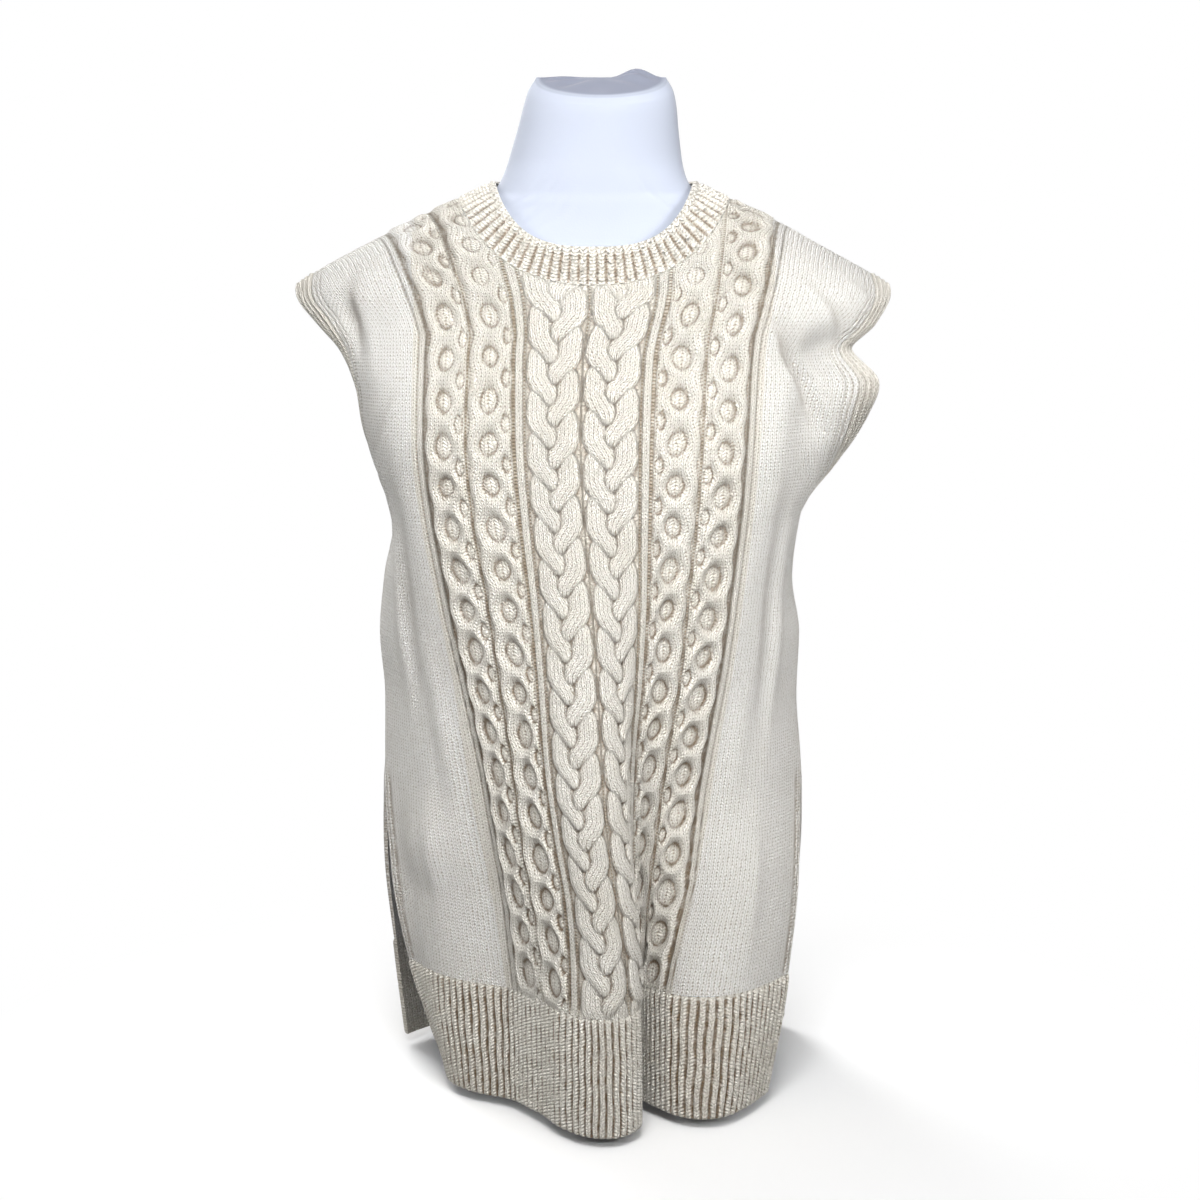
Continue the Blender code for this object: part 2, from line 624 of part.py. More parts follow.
def build_form():
    """The limbless form: smooth, whole, with a flat foot and a rounded neck top."""
    heights = np.linspace(FORM["z"][0], FORM["z"][-1], FORM_RINGS)
    angles = np.linspace(0.0, 2.0 * math.pi, FORM_SIDES, endpoint=False)
    vertices = []
    for z in heights:
        half = read(FORM, "half", z)
        front = read(FORM, "front", z)
        back = read(FORM, "back", z)
        power = 2.0 / read(FORM, "power", z)
        for a in angles:
            x = half * math.copysign(abs(math.cos(a)) ** power, math.cos(a))
            deep = math.copysign(abs(math.sin(a)) ** power, math.sin(a))
            y = (front + back) / 2.0 + (back - front) / 2.0 * deep
            vertices.append((x, y, z))
    faces = []
    for i in range(FORM_RINGS - 1):
        for j in range(FORM_SIDES):
            k = (j + 1) % FORM_SIDES
            a = i * FORM_SIDES
            b = (i + 1) * FORM_SIDES
            faces.append((a + j, a + k, b + k, b + j))
    last = (FORM_RINGS - 1) * FORM_SIDES
    faces.append(tuple(range(FORM_SIDES))[::-1])
    faces.append(tuple(last + j for j in range(FORM_SIDES)))
    return add_object("dress_form", vertices, faces, JERSEY)


def centre(items):
    """Move everything so that the whole part's outline is centred over the origin."""
    points = np.concatenate([[v.co[:] for v in item.data.vertices] for item in items])
    middle = (points.min(axis=0) + points.max(axis=0)) / 2.0
    for item in items:
        for vertex in item.data.vertices:
            vertex.co.x -= middle[0]
            vertex.co.y -= middle[1]


for old in list(bpy.data.objects):
    bpy.data.objects.remove(old, do_unlink=True)

build_form()
build_panel("front", FRONT, FRONT_DROP, neck=9, arm=8, body_rows=15)
build_panel("back", BACK, BACK_DROP, neck=7, arm=7, body_rows=13)
build_neckband(front_neck=9, back_neck=7)
build_armhole_band("left_armhole_band", -1.0)
build_armhole_band("right_armhole_band", 1.0)
centre(list(bpy.context.scene.collection.objects))
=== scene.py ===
"""Looks of the cable-knit sweater vest and the jersey-covered form that it is worn on.

Each knitted piece is a closed thin shell on the same hanging surface as its solid. Its outer face
carries the knitting as real relief: cables, purl lines, ribs and selvedges. Single stitches are
bump and colour in the material, which follows the wales through the cables; their colour holds
painted shade in the gaps between them, and painted shade darkens the crevices and creases.

Flat coordinates of the cloth: s runs across from the centre line, h runs up from the hem.
"""

import math
from functools import partial

import bpy
import numpy as np
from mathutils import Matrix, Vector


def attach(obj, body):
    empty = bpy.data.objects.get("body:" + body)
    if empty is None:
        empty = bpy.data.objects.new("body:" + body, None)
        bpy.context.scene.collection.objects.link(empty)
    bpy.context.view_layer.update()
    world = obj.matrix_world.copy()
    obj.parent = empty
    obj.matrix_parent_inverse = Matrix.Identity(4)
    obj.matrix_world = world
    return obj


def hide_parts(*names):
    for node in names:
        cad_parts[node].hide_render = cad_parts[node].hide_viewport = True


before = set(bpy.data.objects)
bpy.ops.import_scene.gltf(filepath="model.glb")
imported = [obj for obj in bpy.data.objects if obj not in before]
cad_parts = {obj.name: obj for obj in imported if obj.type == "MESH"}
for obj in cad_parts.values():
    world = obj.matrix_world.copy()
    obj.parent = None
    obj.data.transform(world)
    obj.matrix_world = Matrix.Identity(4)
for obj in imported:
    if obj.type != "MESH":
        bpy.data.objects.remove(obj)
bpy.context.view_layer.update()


# ------------------------------------------------------------------ sizes, metres
SEAM = 0.00035          # gap between two pieces where they are joined
CLEAR = 0.0009          # least gap between the cloth and the form
SETTLE = 0.0012         # how softly the cloth leaves the form

HALF_WIDTH = 0.250      # half the flat width of the vest
FIELD_S = 0.138         # half the flat width of the cable field on the front
BAND = 0.022            # width of the armhole bands
NECKBAND = 0.032        # width of the neckband
HEM_Z = 0.009           # lower edge of the hem
RIB = 0.098             # height of the hem rib
SLIT_Z = 0.277          # top of the side slits
UNDERARM_Z = 0.512      # lower end of the armhole seam
ARMHOLE_CORNER = 0.034  # height over which the armhole seam rounds its corner

NECK_Z = 0.776          # shoulder line beside the neckband
NECK_S = 0.106          # half the width of the neck seam on the shoulder line
SHOULDER_SLOPE = 0.515  # fall of the shoulder line per metre of cloth
RIDGE_Y = 0.010         # the shoulder line's place front to back
RIDGE_R = 0.052         # height over which the cloth rounds the shoulder
FRONT_DROP = 0.101      # how far the front neck seam dips below the shoulder line's end
BACK_DROP = 0.041       # the same at the back
NECK_ROUND = 2.3        # how square the curve of the neck seam is

STEP_Z = 0.005          # spacing of the worked-out sections
STEP_S = 0.002          # spacing of the points in a section
LINE_BLEND = 17         # points over which the slide of the cable lines is evened out


def table(columns, *rows):
    """A small table with named columns, its rows sorted by the first."""
    rows = sorted(rows)
    names = columns.split()
    return {name: np.array([row[i] for row in rows], float) for i, name in enumerate(names)}


# The form's sections: half width, front and back faces, and how square the oval is.
FORM = table(
    "z half front back power",
    (0.000, 0.100, -0.030, 0.080, 2.4),
    (0.030, 0.100, -0.030, 0.080, 2.4),
    (0.120, 0.142, -0.062, 0.096, 2.3),
    (0.225, 0.169, -0.092, 0.110, 2.2),
    (0.380, 0.140, -0.084, 0.084, 2.1),
    (0.480, 0.150, -0.106, 0.088, 2.1),
    (0.560, 0.163, -0.118, 0.094, 2.2),
    (0.640, 0.180, -0.096, 0.098, 2.3),
    (0.690, 0.192, -0.072, 0.088, 2.3),
    (0.715, 0.194, -0.062, 0.080, 2.3),
    (0.733, 0.187, -0.056, 0.073, 2.2),
    (0.745, 0.173, -0.053, 0.069, 2.1),
    (0.759, 0.146, -0.051, 0.065, 2.0),
    (0.773, 0.112, -0.050, 0.062, 2.0),
    (0.783, 0.088, -0.049, 0.059, 2.0),
    (0.798, 0.078, -0.049, 0.056, 2.0),
    (0.830, 0.070, -0.048, 0.052, 2.0),
    (0.868, 0.062, -0.046, 0.048, 2.0),
    (0.880, 0.055, -0.040, 0.042, 2.0),
)

# The side edges where front and back meet, and the rest of the way down and up.
EDGES = table(
    "z left_x left_y right_x right_y",
    (0.000, -0.172, 0.030, 0.165, 0.030),
    (0.100, -0.179, 0.020, 0.173, 0.020),
    (0.190, -0.184, 0.013, 0.180, 0.013),
    (0.277, -0.184, 0.008, 0.181, 0.008),
    (0.345, -0.183, 0.008, 0.176, 0.008),
    (0.400, -0.187, 0.008, 0.178, 0.008),
    (0.450, -0.182, 0.008, 0.170, 0.008),
    (0.508, -0.167, 0.008, 0.175, 0.008),
    (0.528, -0.169, 0.008, 0.186, 0.008),
    (0.550, -0.180, 0.009, 0.205, 0.009),
    (0.600, -0.201, 0.010, 0.233, 0.010),
    (0.622, -0.208, 0.010, 0.240, 0.010),
    (0.652, -0.220, 0.010, 0.216, 0.010),
    (0.675, -0.239, 0.010, 0.240, 0.010),
    (0.700, -0.257, 0.010, 0.255, 0.010),
    (0.740, -0.261, 0.010, 0.252, 0.010),
    (0.850, -0.270, 0.010, 0.264, 0.010),
)

# Where the lines between the cables run down each panel, from the cable field's left edge to its
# right edge; the two panels agree from the shoulders up.
CABLE_LINES = (-0.138, -0.109, -0.076, -0.054, 0.000, 0.054, 0.076, 0.109, 0.138)
FRONT_FIELD = table(
    "z line_1 line_2 line_3 line_4 line_5 line_6 line_7 line_8 line_9",
    (0.000, -0.071, -0.054, -0.032, -0.014, 0.027, 0.035, 0.038, 0.048, 0.067),
    (0.100, -0.073, -0.056, -0.033, -0.015, 0.026, 0.034, 0.037, 0.048, 0.067),
    (0.150, -0.080, -0.061, -0.035, -0.016, 0.024, 0.033, 0.037, 0.053, 0.074),
    (0.200, -0.088, -0.068, -0.040, -0.020, 0.019, 0.031, 0.036, 0.062, 0.087),
    (0.250, -0.099, -0.076, -0.046, -0.029, 0.012, 0.030, 0.040, 0.070, 0.095),
    (0.310, -0.109, -0.085, -0.052, -0.038, 0.007, 0.031, 0.046, 0.079, 0.104),
    (0.380, -0.119, -0.096, -0.062, -0.043, 0.003, 0.037, 0.055, 0.090, 0.116),
    (0.450, -0.132, -0.107, -0.071, -0.049, -0.002, 0.041, 0.060, 0.097, 0.125),
    (0.515, -0.143, -0.118, -0.082, -0.056, -0.008, 0.042, 0.065, 0.105, 0.131),
    (0.580, -0.149, -0.124, -0.087, -0.061, -0.011, 0.043, 0.069, 0.110, 0.136),
    (0.645, -0.149, -0.122, -0.086, -0.062, -0.009, 0.046, 0.073, 0.113, 0.141),
    (0.700, -0.149, -0.118, -0.082, -0.058, 0.000, 0.058, 0.082, 0.118, 0.149),
    (0.720, -0.150, -0.119, -0.083, -0.059, 0.000, 0.059, 0.083, 0.119, 0.150),
    (0.850, -0.153, -0.121, -0.084, -0.060, 0.000, 0.060, 0.084, 0.121, 0.153),
)
BACK_FIELD = table(
    "z line_1 line_2 line_3 line_4 line_5 line_6 line_7 line_8 line_9",
    (0.000, -0.104, -0.083, -0.058, -0.042, -0.003, 0.038, 0.054, 0.079, 0.100),
    (0.200, -0.126, -0.100, -0.070, -0.050, -0.001, 0.048, 0.068, 0.099, 0.126),
    (0.420, -0.127, -0.101, -0.071, -0.051, -0.003, 0.048, 0.068, 0.099, 0.126),
    (0.600, -0.133, -0.106, -0.074, -0.053, -0.002, 0.050, 0.071, 0.103, 0.130),
    (0.660, -0.142, -0.113, -0.079, -0.056, 0.000, 0.055, 0.077, 0.111, 0.139),
    (0.700, -0.149, -0.118, -0.082, -0.058, 0.000, 0.058, 0.082, 0.118, 0.149),
    (0.720, -0.150, -0.119, -0.083, -0.059, 0.000, 0.059, 0.083, 0.119, 0.150),
    (0.850, -0.153, -0.121, -0.084, -0.060, 0.000, 0.060, 0.084, 0.121, 0.153),
)

# How far each panel's edge stands off the shared line: below the slits and round the armholes.
FRONT_EDGES = table(
    "z left_x left_y right_x right_y",
    (0.000, 0.044, -0.040, -0.020, -0.116),
    (0.100, 0.018, -0.024, -0.006, -0.074),
    (0.200, 0.008, -0.010, -0.001, -0.030),
    (0.277, 0.000, 0.000, 0.000, 0.000),
    (0.536, 0.000, 0.000, 0.000, 0.000),
    (0.580, 0.003, -0.026, 0.000, -0.032),
    (0.620, 0.008, -0.044, 0.000, -0.056),
    (0.660, 0.006, -0.044, 0.000, -0.046),
    (0.700, 0.000, -0.028, 0.000, -0.028),
    (0.850, 0.000, -0.028, 0.000, -0.028),
)
BACK_EDGES = table(
    "z left_x left_y right_x right_y",
    (0.000, -0.002, 0.040, 0.013, 0.085),
    (0.100, -0.003, 0.030, 0.003, 0.055),
    (0.200, -0.003, 0.012, 0.003, 0.020),
    (0.277, 0.000, 0.000, 0.000, 0.000),
    (0.536, 0.000, 0.000, 0.000, 0.000),
    (0.580, 0.000, 0.026, -0.014, 0.028),
    (0.620, 0.000, 0.042, -0.024, 0.044),
    (0.660, 0.000, 0.044, -0.004, 0.046),
    (0.700, 0.000, 0.030, 0.000, 0.030),
    (0.850, 0.000, 0.030, 0.000, 0.030),
)

# How a section bends from its middle to each edge, in degrees, how late the bend comes and how
# far front to back its middle stands.
FRONT_BEND = table(
    "z left right late mid",
    (0.000, 60.0, 45.0, 1.3, -0.182),
    (0.110, 62.0, 50.0, 1.2, -0.168),
    (0.200, 62.0, 58.0, 1.0, -0.160),
    (0.277, 62.0, 62.0, 0.9, -0.154),
    (0.350, 68.0, 68.0, 0.9, -0.148),
    (0.420, 78.0, 78.0, 1.1, -0.142),
    (0.500, 88.0, 85.0, 1.6, -0.135),
    (0.560, 76.0, 66.0, 2.2, -0.130),
    (0.600, 68.0, 55.0, 2.5, -0.122),
    (0.640, 58.0, 48.0, 2.6, -0.108),
    (0.690, 42.0, 42.0, 2.5, -0.090),
    (0.730, 38.0, 38.0, 2.5, -0.078),
    (0.760, 36.0, 36.0, 2.5, -0.071),
    (0.850, 30.0, 30.0, 2.5, -0.060),
)
BACK_BEND = table(
    "z left right late mid",
    (0.000, 58.0, 58.0, 1.8, 0.150),
    (0.110, 66.0, 66.0, 1.9, 0.139),
    (0.200, 76.0, 76.0, 2.0, 0.131),
    (0.277, 84.0, 84.0, 2.1, 0.124),
    (0.420, 88.0, 88.0, 2.2, 0.117),
    (0.515, 92.0, 92.0, 2.6, 0.112),
    (0.600, 70.0, 66.0, 2.8, 0.110),
    (0.650, 56.0, 54.0, 2.7, 0.106),
    (0.690, 44.0, 44.0, 2.6, 0.097),
    (0.730, 40.0, 40.0, 2.5, 0.086),
    (0.760, 38.0, 38.0, 2.5, 0.077),
    (0.850, 30.0, 30.0, 2.5, 0.062),
)

# Flanks of the folds: the cloth turns by so many degrees about s, most at z, fading above and below.
FRONT_FOLDS = table(
    "s half_width turn z above below",
    (-0.086, 0.084, -48.0, 0.000, 0.56, 0.10),
    (-0.074, 0.040, -30.0, 0.000, 0.24, 0.10),
    (0.034, 0.064, 98.0, 0.000, 0.54, 0.10),
    (0.130, 0.070, -86.0, 0.000, 0.42, 0.10),
    (-0.222, 0.036, -24.0, 0.000, 0.20, 0.10),
    (-0.150, 0.040, 16.0, 0.030, 0.30, 0.20),
    (0.168, 0.034, 30.0, 0.610, 0.08, 0.14),
    (0.216, 0.036, -52.0, 0.620, 0.07, 0.10),
    (-0.222, 0.030, 26.0, 0.676, 0.03, 0.05),
    (-0.178, 0.040, -14.0, 0.560, 0.12, 0.18),
)
BACK_FOLDS = table(
    "s half_width turn z above below",
    (-0.150, 0.052, -46.0, 0.000, 0.40, 0.10),
    (-0.072, 0.050, 62.0, 0.000, 0.36, 0.10),
    (0.030, 0.056, -60.0, 0.000, 0.46, 0.10),
    (0.118, 0.050, 58.0, 0.000, 0.40, 0.10),
    (0.188, 0.040, -28.0, 0.000, 0.30, 0.10),
    (0.205, 0.036, -22.0, 0.600, 0.09, 0.16),
    (-0.200, 0.040, 18.0, 0.590, 0.08, 0.14),
)


# ------------------------------------------------------------------ small functions
def ease(x):
    """A smooth step from 0 to 1."""
    x = np.clip(x, 0.0, 1.0)
    return x * x * (3.0 - 2.0 * x)


def hump(x):
    """1 at the middle, falling smoothly to 0 at -1 and 1."""
    return np.cos(np.clip(x, -1.0, 1.0) * math.pi / 2.0) ** 2


def between(low, high, share):
    """A value part of the way from low to high."""
    return low + (high - low) * share


def read(rows, column, z):
    """A column of a table at any height, joined by a curve that never overshoots its rows."""
    x = rows["z"]
    y = rows[column]
    h = np.diff(x)
    slope = np.diff(y) / h
    m = np.zeros(len(x))
    m[0] = slope[0]
    m[-1] = slope[-1]
    for i in range(1, len(x) - 1):
        if slope[i - 1] * slope[i] > 0.0:
            a = 2.0 * h[i] + h[i - 1]
            b = h[i] + 2.0 * h[i - 1]
            m[i] = (a + b) / (a / slope[i - 1] + b / slope[i])
    z = np.clip(np.asarray(z, float), x[0], x[-1])
    k = np.clip(np.searchsorted(x, z, side="right") - 1, 0, len(h) - 1)
    t = (z - x[k]) / h[k]
    near = (1.0 + 2.0 * t) * (1.0 - t) ** 2 * y[k] + t * (1.0 - t) ** 2 * h[k] * m[k]
    far = t * t * (3.0 - 2.0 * t) * y[k + 1] + t * t * (t - 1.0) * h[k] * m[k + 1]
    return near + far


def unit(v):
    """Vectors of length 1."""
    return v / np.maximum(np.linalg.norm(v, axis=-1, keepdims=True), 1e-12)


# ------------------------------------------------------------------ the form
def form_level(p):
    """1 on the form's surface, less inside, more outside."""
    z = p[..., 2]
    half = read(FORM, "half", z)
    front = read(FORM, "front", z)
    back = read(FORM, "back", z)
    power = read(FORM, "power", z)
    across = np.abs(p[..., 0] / half) ** power
    deep = np.abs((p[..., 1] - (front + back) / 2.0) * 2.0 / (back - front)) ** power
    return (across + deep) ** (1.0 / power)


def off_form(p):
    """Distance of points from the form, and the direction straight away from it."""
    h = 0.0005
    slope = np.zeros(p.shape)
    for k in range(3):
        step = np.zeros(3)
        step[k] = h
        slope[..., k] = (form_level(p + step) - form_level(p - step)) / (2.0 * h)
    size = np.maximum(np.linalg.norm(slope, axis=-1), 1e-6)
    return (form_level(p) - 1.0) / size, slope / size[..., None]


# ------------------------------------------------------------------ the cloth's sections
def fold_turns(folds, s, z):
    """Extra turn of the cloth from the folds, in radians."""
    total = np.zeros(np.broadcast(s, z).shape)
    for i in range(len(folds["s"])):
        up = z - folds["z"][i]
        reach = np.where(up > 0.0, folds["above"][i], folds["below"][i])
        height = ease(1.0 - np.abs(up) / reach)
        total += folds["turn"][i] * height * hump((s - folds["s"][i]) / folds["half_width"][i])
    return np.radians(total)


def walk(turn):
    """Places reached by stepping along a section whose heading is turn."""
    mid = (turn[:, 1:] + turn[:, :-1]) / 2.0
    zero = np.zeros((len(turn), 1))
    x = np.concatenate([zero, np.cumsum(np.cos(mid), axis=1)], axis=1) * STEP_S
    y = np.concatenate([zero, np.cumsum(np.sin(mid), axis=1)], axis=1) * STEP_S
    return x, y


def span(x, y):
    """Straight distance between a section's two ends."""
    return np.hypot(x[:, -1] - x[:, 0], y[:, -1] - y[:, 0])


def halve(low, high, over):
    """One step of closing in on a number: over says where the middle is too large."""
    middle = (low + high) / 2.0
    return np.where(over, low, middle), np.where(over, middle, high)


def hang(base, extra, stretch, ends):
    """A section whose bend makes its two ends land where they belong."""
    want = np.hypot(ends["right_x"] - ends["left_x"], ends["right_y"] - ends["left_y"])
    low = np.full(len(LEVELS), 0.2)
    high = np.full(len(LEVELS), 2.2)
    for _ in range(18):
        share = (low + high) / 2.0
        x, y = walk(base * share[:, None] + extra)
        low, high = halve(low, high, span(x, y) * stretch < want)
    run_x = x[:, -1] - x[:, 0]
    run_y = y[:, -1] - y[:, 0]
    aim_x = ends["right_x"] - ends["left_x"]
    aim_y = ends["right_y"] - ends["left_y"]
    size = run_x ** 2 + run_y ** 2
    c = ((run_x * aim_x + run_y * aim_y) / size)[:, None]
    t = ((run_x * aim_y - run_y * aim_x) / size)[:, None]
    return ends["left_x"][:, None] + c * x - t * y, ends["left_y"][:, None] + t * x + c * y


def sections(bend, folds, edges, side):
    """x and y of a panel over the heights LEVELS and the places ACROSS, its width nearly kept."""
    z = LEVELS[:, None]
    s = ACROSS[None, :]
    u = s / HALF_WIDTH
    degrees = np.where(u < 0.0, read(bend, "left", z), read(bend, "right", z))
    base = side * np.radians(degrees) * np.sign(u) * np.abs(u) ** read(bend, "late", z)
    extra = side * fold_turns(folds, s, z)
    middle = read(bend, "mid", LEVELS)
    ends = {}
    for name in ("left_x", "left_y", "right_x", "right_y"):
        ends[name] = read(EDGES, name, LEVELS) + read(edges, name, LEVELS)
    low = np.full(len(LEVELS), 0.85)
    high = np.full(len(LEVELS), 1.25)
    for _ in range(12):
        x, y = hang(base, extra, (low + high) / 2.0, ends)
        low, high = halve(low, high, (y[:, len(ACROSS) // 2] - middle) * side < 0.0)
    return x, y


def draw_in(section, field):
    """Slide a section sideways so that the lines between the cables run where they should."""
    x = section[0]
    marks = np.array([-HALF_WIDTH, *CABLE_LINES, HALF_WIDTH])
    wanted = [x[:, 0]] + [read(field, f"line_{k + 1}", LEVELS) for k in range(9)] + [x[:, -1]]
    off = np.array([line - x[:, int(round((mark + HALF_WIDTH) / STEP_S))]
                    for line, mark in zip(wanted, marks)])
    soften = np.hanning(LINE_BLEND) / np.hanning(LINE_BLEND).sum()
    out = x.copy()
    for i in range(len(LEVELS)):
        slide = np.interp(ACROSS, marks, off[:, i])
        around = np.pad(slide, LINE_BLEND // 2, mode="reflect", reflect_type="odd")
        out[i] += np.convolve(around, soften, mode="valid")
    return out, section[1]


LEVELS = np.arange(0.0, 0.86, STEP_Z)
ACROSS = np.linspace(-HALF_WIDTH, HALF_WIDTH, int(round(2.0 * HALF_WIDTH / STEP_S)) + 1)
FRONT = draw_in(sections(FRONT_BEND, FRONT_FOLDS, FRONT_EDGES, 1.0), FRONT_FIELD)
BACK = draw_in(sections(BACK_BEND, BACK_FOLDS, BACK_EDGES, -1.0), BACK_FIELD)


def look_up(grid, s, z):
    """A section grid read between its levels by a smooth curve and between its places by a line."""
    f = np.clip(z / STEP_Z, 0.0, len(LEVELS) - 1.001)
    i = np.floor(f).astype(int)
    t = f - i
    g = np.clip((s + HALF_WIDTH) / STEP_S, 0.0, len(ACROSS) - 1.001)
    j = np.floor(g).astype(int)
    r = g - j
    total = np.zeros(np.shape(f + g))
    weights = (
        (-1, (-t + 2.0 * t ** 2 - t ** 3) / 2.0),
        (0, (2.0 - 5.0 * t ** 2 + 3.0 * t ** 3) / 2.0),
        (1, (t + 4.0 * t ** 2 - 3.0 * t ** 3) / 2.0),
        (2, (-t ** 2 + t ** 3) / 2.0),
    )
    for step, weight in weights:
        row = np.clip(i + step, 0, len(LEVELS) - 1)
        total += weight * ((1.0 - r) * grid[row, j] + r * grid[row, j + 1])
    return total


def shoulder(s):
    """Height of the shoulder line, in cloth and in space, over a place across."""
    return NECK_Z - SHOULDER_SLOPE * (np.abs(s) - NECK_S)


def lay(panel, s, h):
    """The cloth's inner face at flat coordinates s and h."""
    down = np.maximum(shoulder(s) - h, 0.0)
    turn = np.minimum(down / RIDGE_R, math.pi / 2.0)
    fall = RIDGE_R * (1.0 - np.cos(turn)) + np.maximum(down - RIDGE_R * math.pi / 2.0, 0.0)
    z = shoulder(s) - fall
    x = look_up(panel[0], s, z)
    y = RIDGE_Y + (look_up(panel[1], s, z) - RIDGE_Y) * np.sin(turn)
    p = np.stack([x, y, z], axis=-1)
    for _ in range(2):
        gap, away = off_form(p)
        short = (CLEAR - gap) / SETTLE
        push = SETTLE * np.logaddexp(0.0, np.clip(short, -30.0, 60.0))
        p = p + away * np.where(short > -8.0, push, 0.0)[..., None]
    return p


def cloth_height(z):
    """Flat height h of a place at height z on the hanging part of the cloth."""
    return z - RIDGE_R * (math.pi / 2.0 - 1.0)


HEM_H = cloth_height(HEM_Z)
RIB_H = HEM_H + RIB
UNDERARM_H = cloth_height(UNDERARM_Z)
ARM_S = HALF_WIDTH - BAND
YOKE_H = NECK_Z - FRONT_DROP - 0.012


def facing(panel, s, h):
    """The direction straight out of the cloth."""
    step = 0.0008
    right = np.minimum(s + step, HALF_WIDTH)
    left = np.maximum(s - step, -HALF_WIDTH)
    up = np.minimum(h + step, shoulder(s))
    across = lay(panel, right, h) - lay(panel, left, h)
    along = lay(panel, s, up) - lay(panel, s, h - step)
    out = np.cross(across, along)
    return unit(out if panel is FRONT else -out)


def shared(panel, s, h):
    """Outward direction, made common to both panels where they are sewn together."""
    out = facing(panel, s, h)
    other = facing(BACK if panel is FRONT else FRONT, s, h)
    z = h + RIDGE_R * (math.pi / 2.0 - 1.0)
    joined = ease((z - SLIT_Z + 0.02) / 0.02) * (1.0 - ease((z - UNDERARM_Z - BAND) / 0.02))
    near = ease((np.abs(s) - HALF_WIDTH + 0.012) / 0.011)
    return unit(out + other * (joined * near)[..., None])


def neck_curve(reach):
    """Share of the neck seam's drop at a share of its half width."""
    return np.sqrt(np.maximum(1.0 - reach ** NECK_ROUND, 0.0))


def neck_seam(turn, drop):
    """The neck seam at turns of -90 to 90 degrees: its s and h, and the way towards the neckband."""
    step = 0.002
    wide = np.minimum(np.abs(turn) + step, math.pi / 2.0)
    tight = np.abs(turn) - step
    rise = drop * (neck_curve(np.abs(np.sin(tight))) - neck_curve(np.sin(wide)))
    run = NECK_S * (np.sin(wide) - np.sin(tight))
    size = np.hypot(rise, run)
    below = drop * neck_curve(np.abs(np.sin(turn)))
    return NECK_S * np.sin(turn), NECK_Z - below, -np.sign(turn) * rise / size, run / size


# ------------------------------------------------------------------ knitting, in stitches and rows
WALE = 2.0 * FIELD_S / 73.0     # width of one stitch
REPEAT = 0.0345                 # height of one cable repeat
COURSE = REPEAT / 12.0          # height of one row
PLAIN = 0.0028                  # thickness of plain knitting
GROUND = 0.0012                 # thickness in the purl lines
CREST = 0.0064                  # thickness on top of the cables
RIB_PITCH = 0.0064              # width of one rib and one groove of the hem
NECK_PITCH = 0.0068             # the same on the neckband
EDGE_PITCH = 0.0052             # ridges along the armhole bands
BASE = 0.0022                   # thickness at the seams, and how far a free edge rounds
RIB_TOP = 0.0024                # thickness where the hem ends
CABLE_FOOT = 0.0026             # thickness where the cables begin above it

# The cable field from its centre line out, in stitches: where each motif starts and ends.
MOTIFS = (
    ("plait", 0.30, 12.60),
    ("ladder", 13.25, 14.85),
    ("chain", 15.65, 24.20),
    ("chain", 24.62, 33.30),
    ("ladder", 33.72, 35.15),
)
PLAIT_START = {-1.0: 0.628, 1.0: 0.6105}    # height of a plait's crossing, left and right of the centre
CHAIN_START = {-1.0: (0.617, 0.615), 1.0: (0.617, 0.608)}   # of a cell in the inner and outer chains
OVAL_POWER = 1.8        # 2 is an ellipse, less is more pointed
CELL = (1.80, 2.55)     # half width and half height of a cell's floor, in stitches
BEAD = (0.95, 1.90)     # the same for the small holes between the cells
BEAD_X = -3.25          # where their middles lie across the chain
CHAIN_HALF = 4.15       # half width of a chain beside a cell
CHAIN_WAIST = 0.55      # how much less it is between two cells
LADDER_HALF = 0.74      # half width of a ladder's stitch
MOTIF_EASE = 0.30       # stitches over which a motif rises from the purl lines
PLAIT_REST = 3.15       # stitches from a plait's middle to a strand at its side
PLAIT_CROSS = 0.62      # half the time that a strand takes to cross, in half repeats
PLAIT_RISE = REPEAT / 2.0 / WALE    # stitches that half a repeat is high
PLAIT_STOP = ((-1.0, 0.70), (1.0, 0.20))    # stitches short of the middle where each hand's strands stop
PLAIT_CREST = CREST + 0.0010        # thickness on top of the plaits
# One lobe of a plait, down from where its strand comes out from under the last one. Times in half
# repeats after its crossing, half width in stitches, lift as a share of the over and under height.
LOBE = table(
    "time half lift",
    (-2.40, 1.80, -1.60),
    (-1.80, 2.40, -1.00),
    (-1.20, 2.90, -0.50),
    (-0.60, 2.95, -0.10),
    (0.00, 2.65, 0.55),
    (0.35, 2.00, 1.10),
    (0.62, 1.35, 1.30),
)
LOBE_HEIGHT = 0.0015    # thickness that a whole lift stands for
LOBE_TOP = 1.3          # lift on top of a plait
LOBE_SIDE = 0.0046      # how far a lobe falls towards its edge
# Where the pattern lies a little to the side of the even stitches of the cloth.
PATTERN_SLIDE = table(
    "s half_s h half_h slide",
    (-0.128, 0.034, 0.240, 0.170, -0.0090),
    (-0.100, 0.060, 0.110, 0.110, -0.0045),
    (-0.020, 0.040, 0.100, 0.090, -0.0050),
    (0.020, 0.040, 0.180, 0.110, 0.0040),
    (0.128, 0.034, 0.130, 0.110, -0.0060),
)


def soft_step(x, low, high):
    """0 below low, 1 above high, smooth between."""
    return ease((x - low) / (high - low))


def oval(x, y, half_x, half_y):
    """Distance from the middle of a slightly pointed oval, 1 on its line."""
    return (np.abs(x / half_x) ** OVAL_POWER + np.abs(y / half_y) ** OVAL_POWER) ** (1.0 / OVAL_POWER)


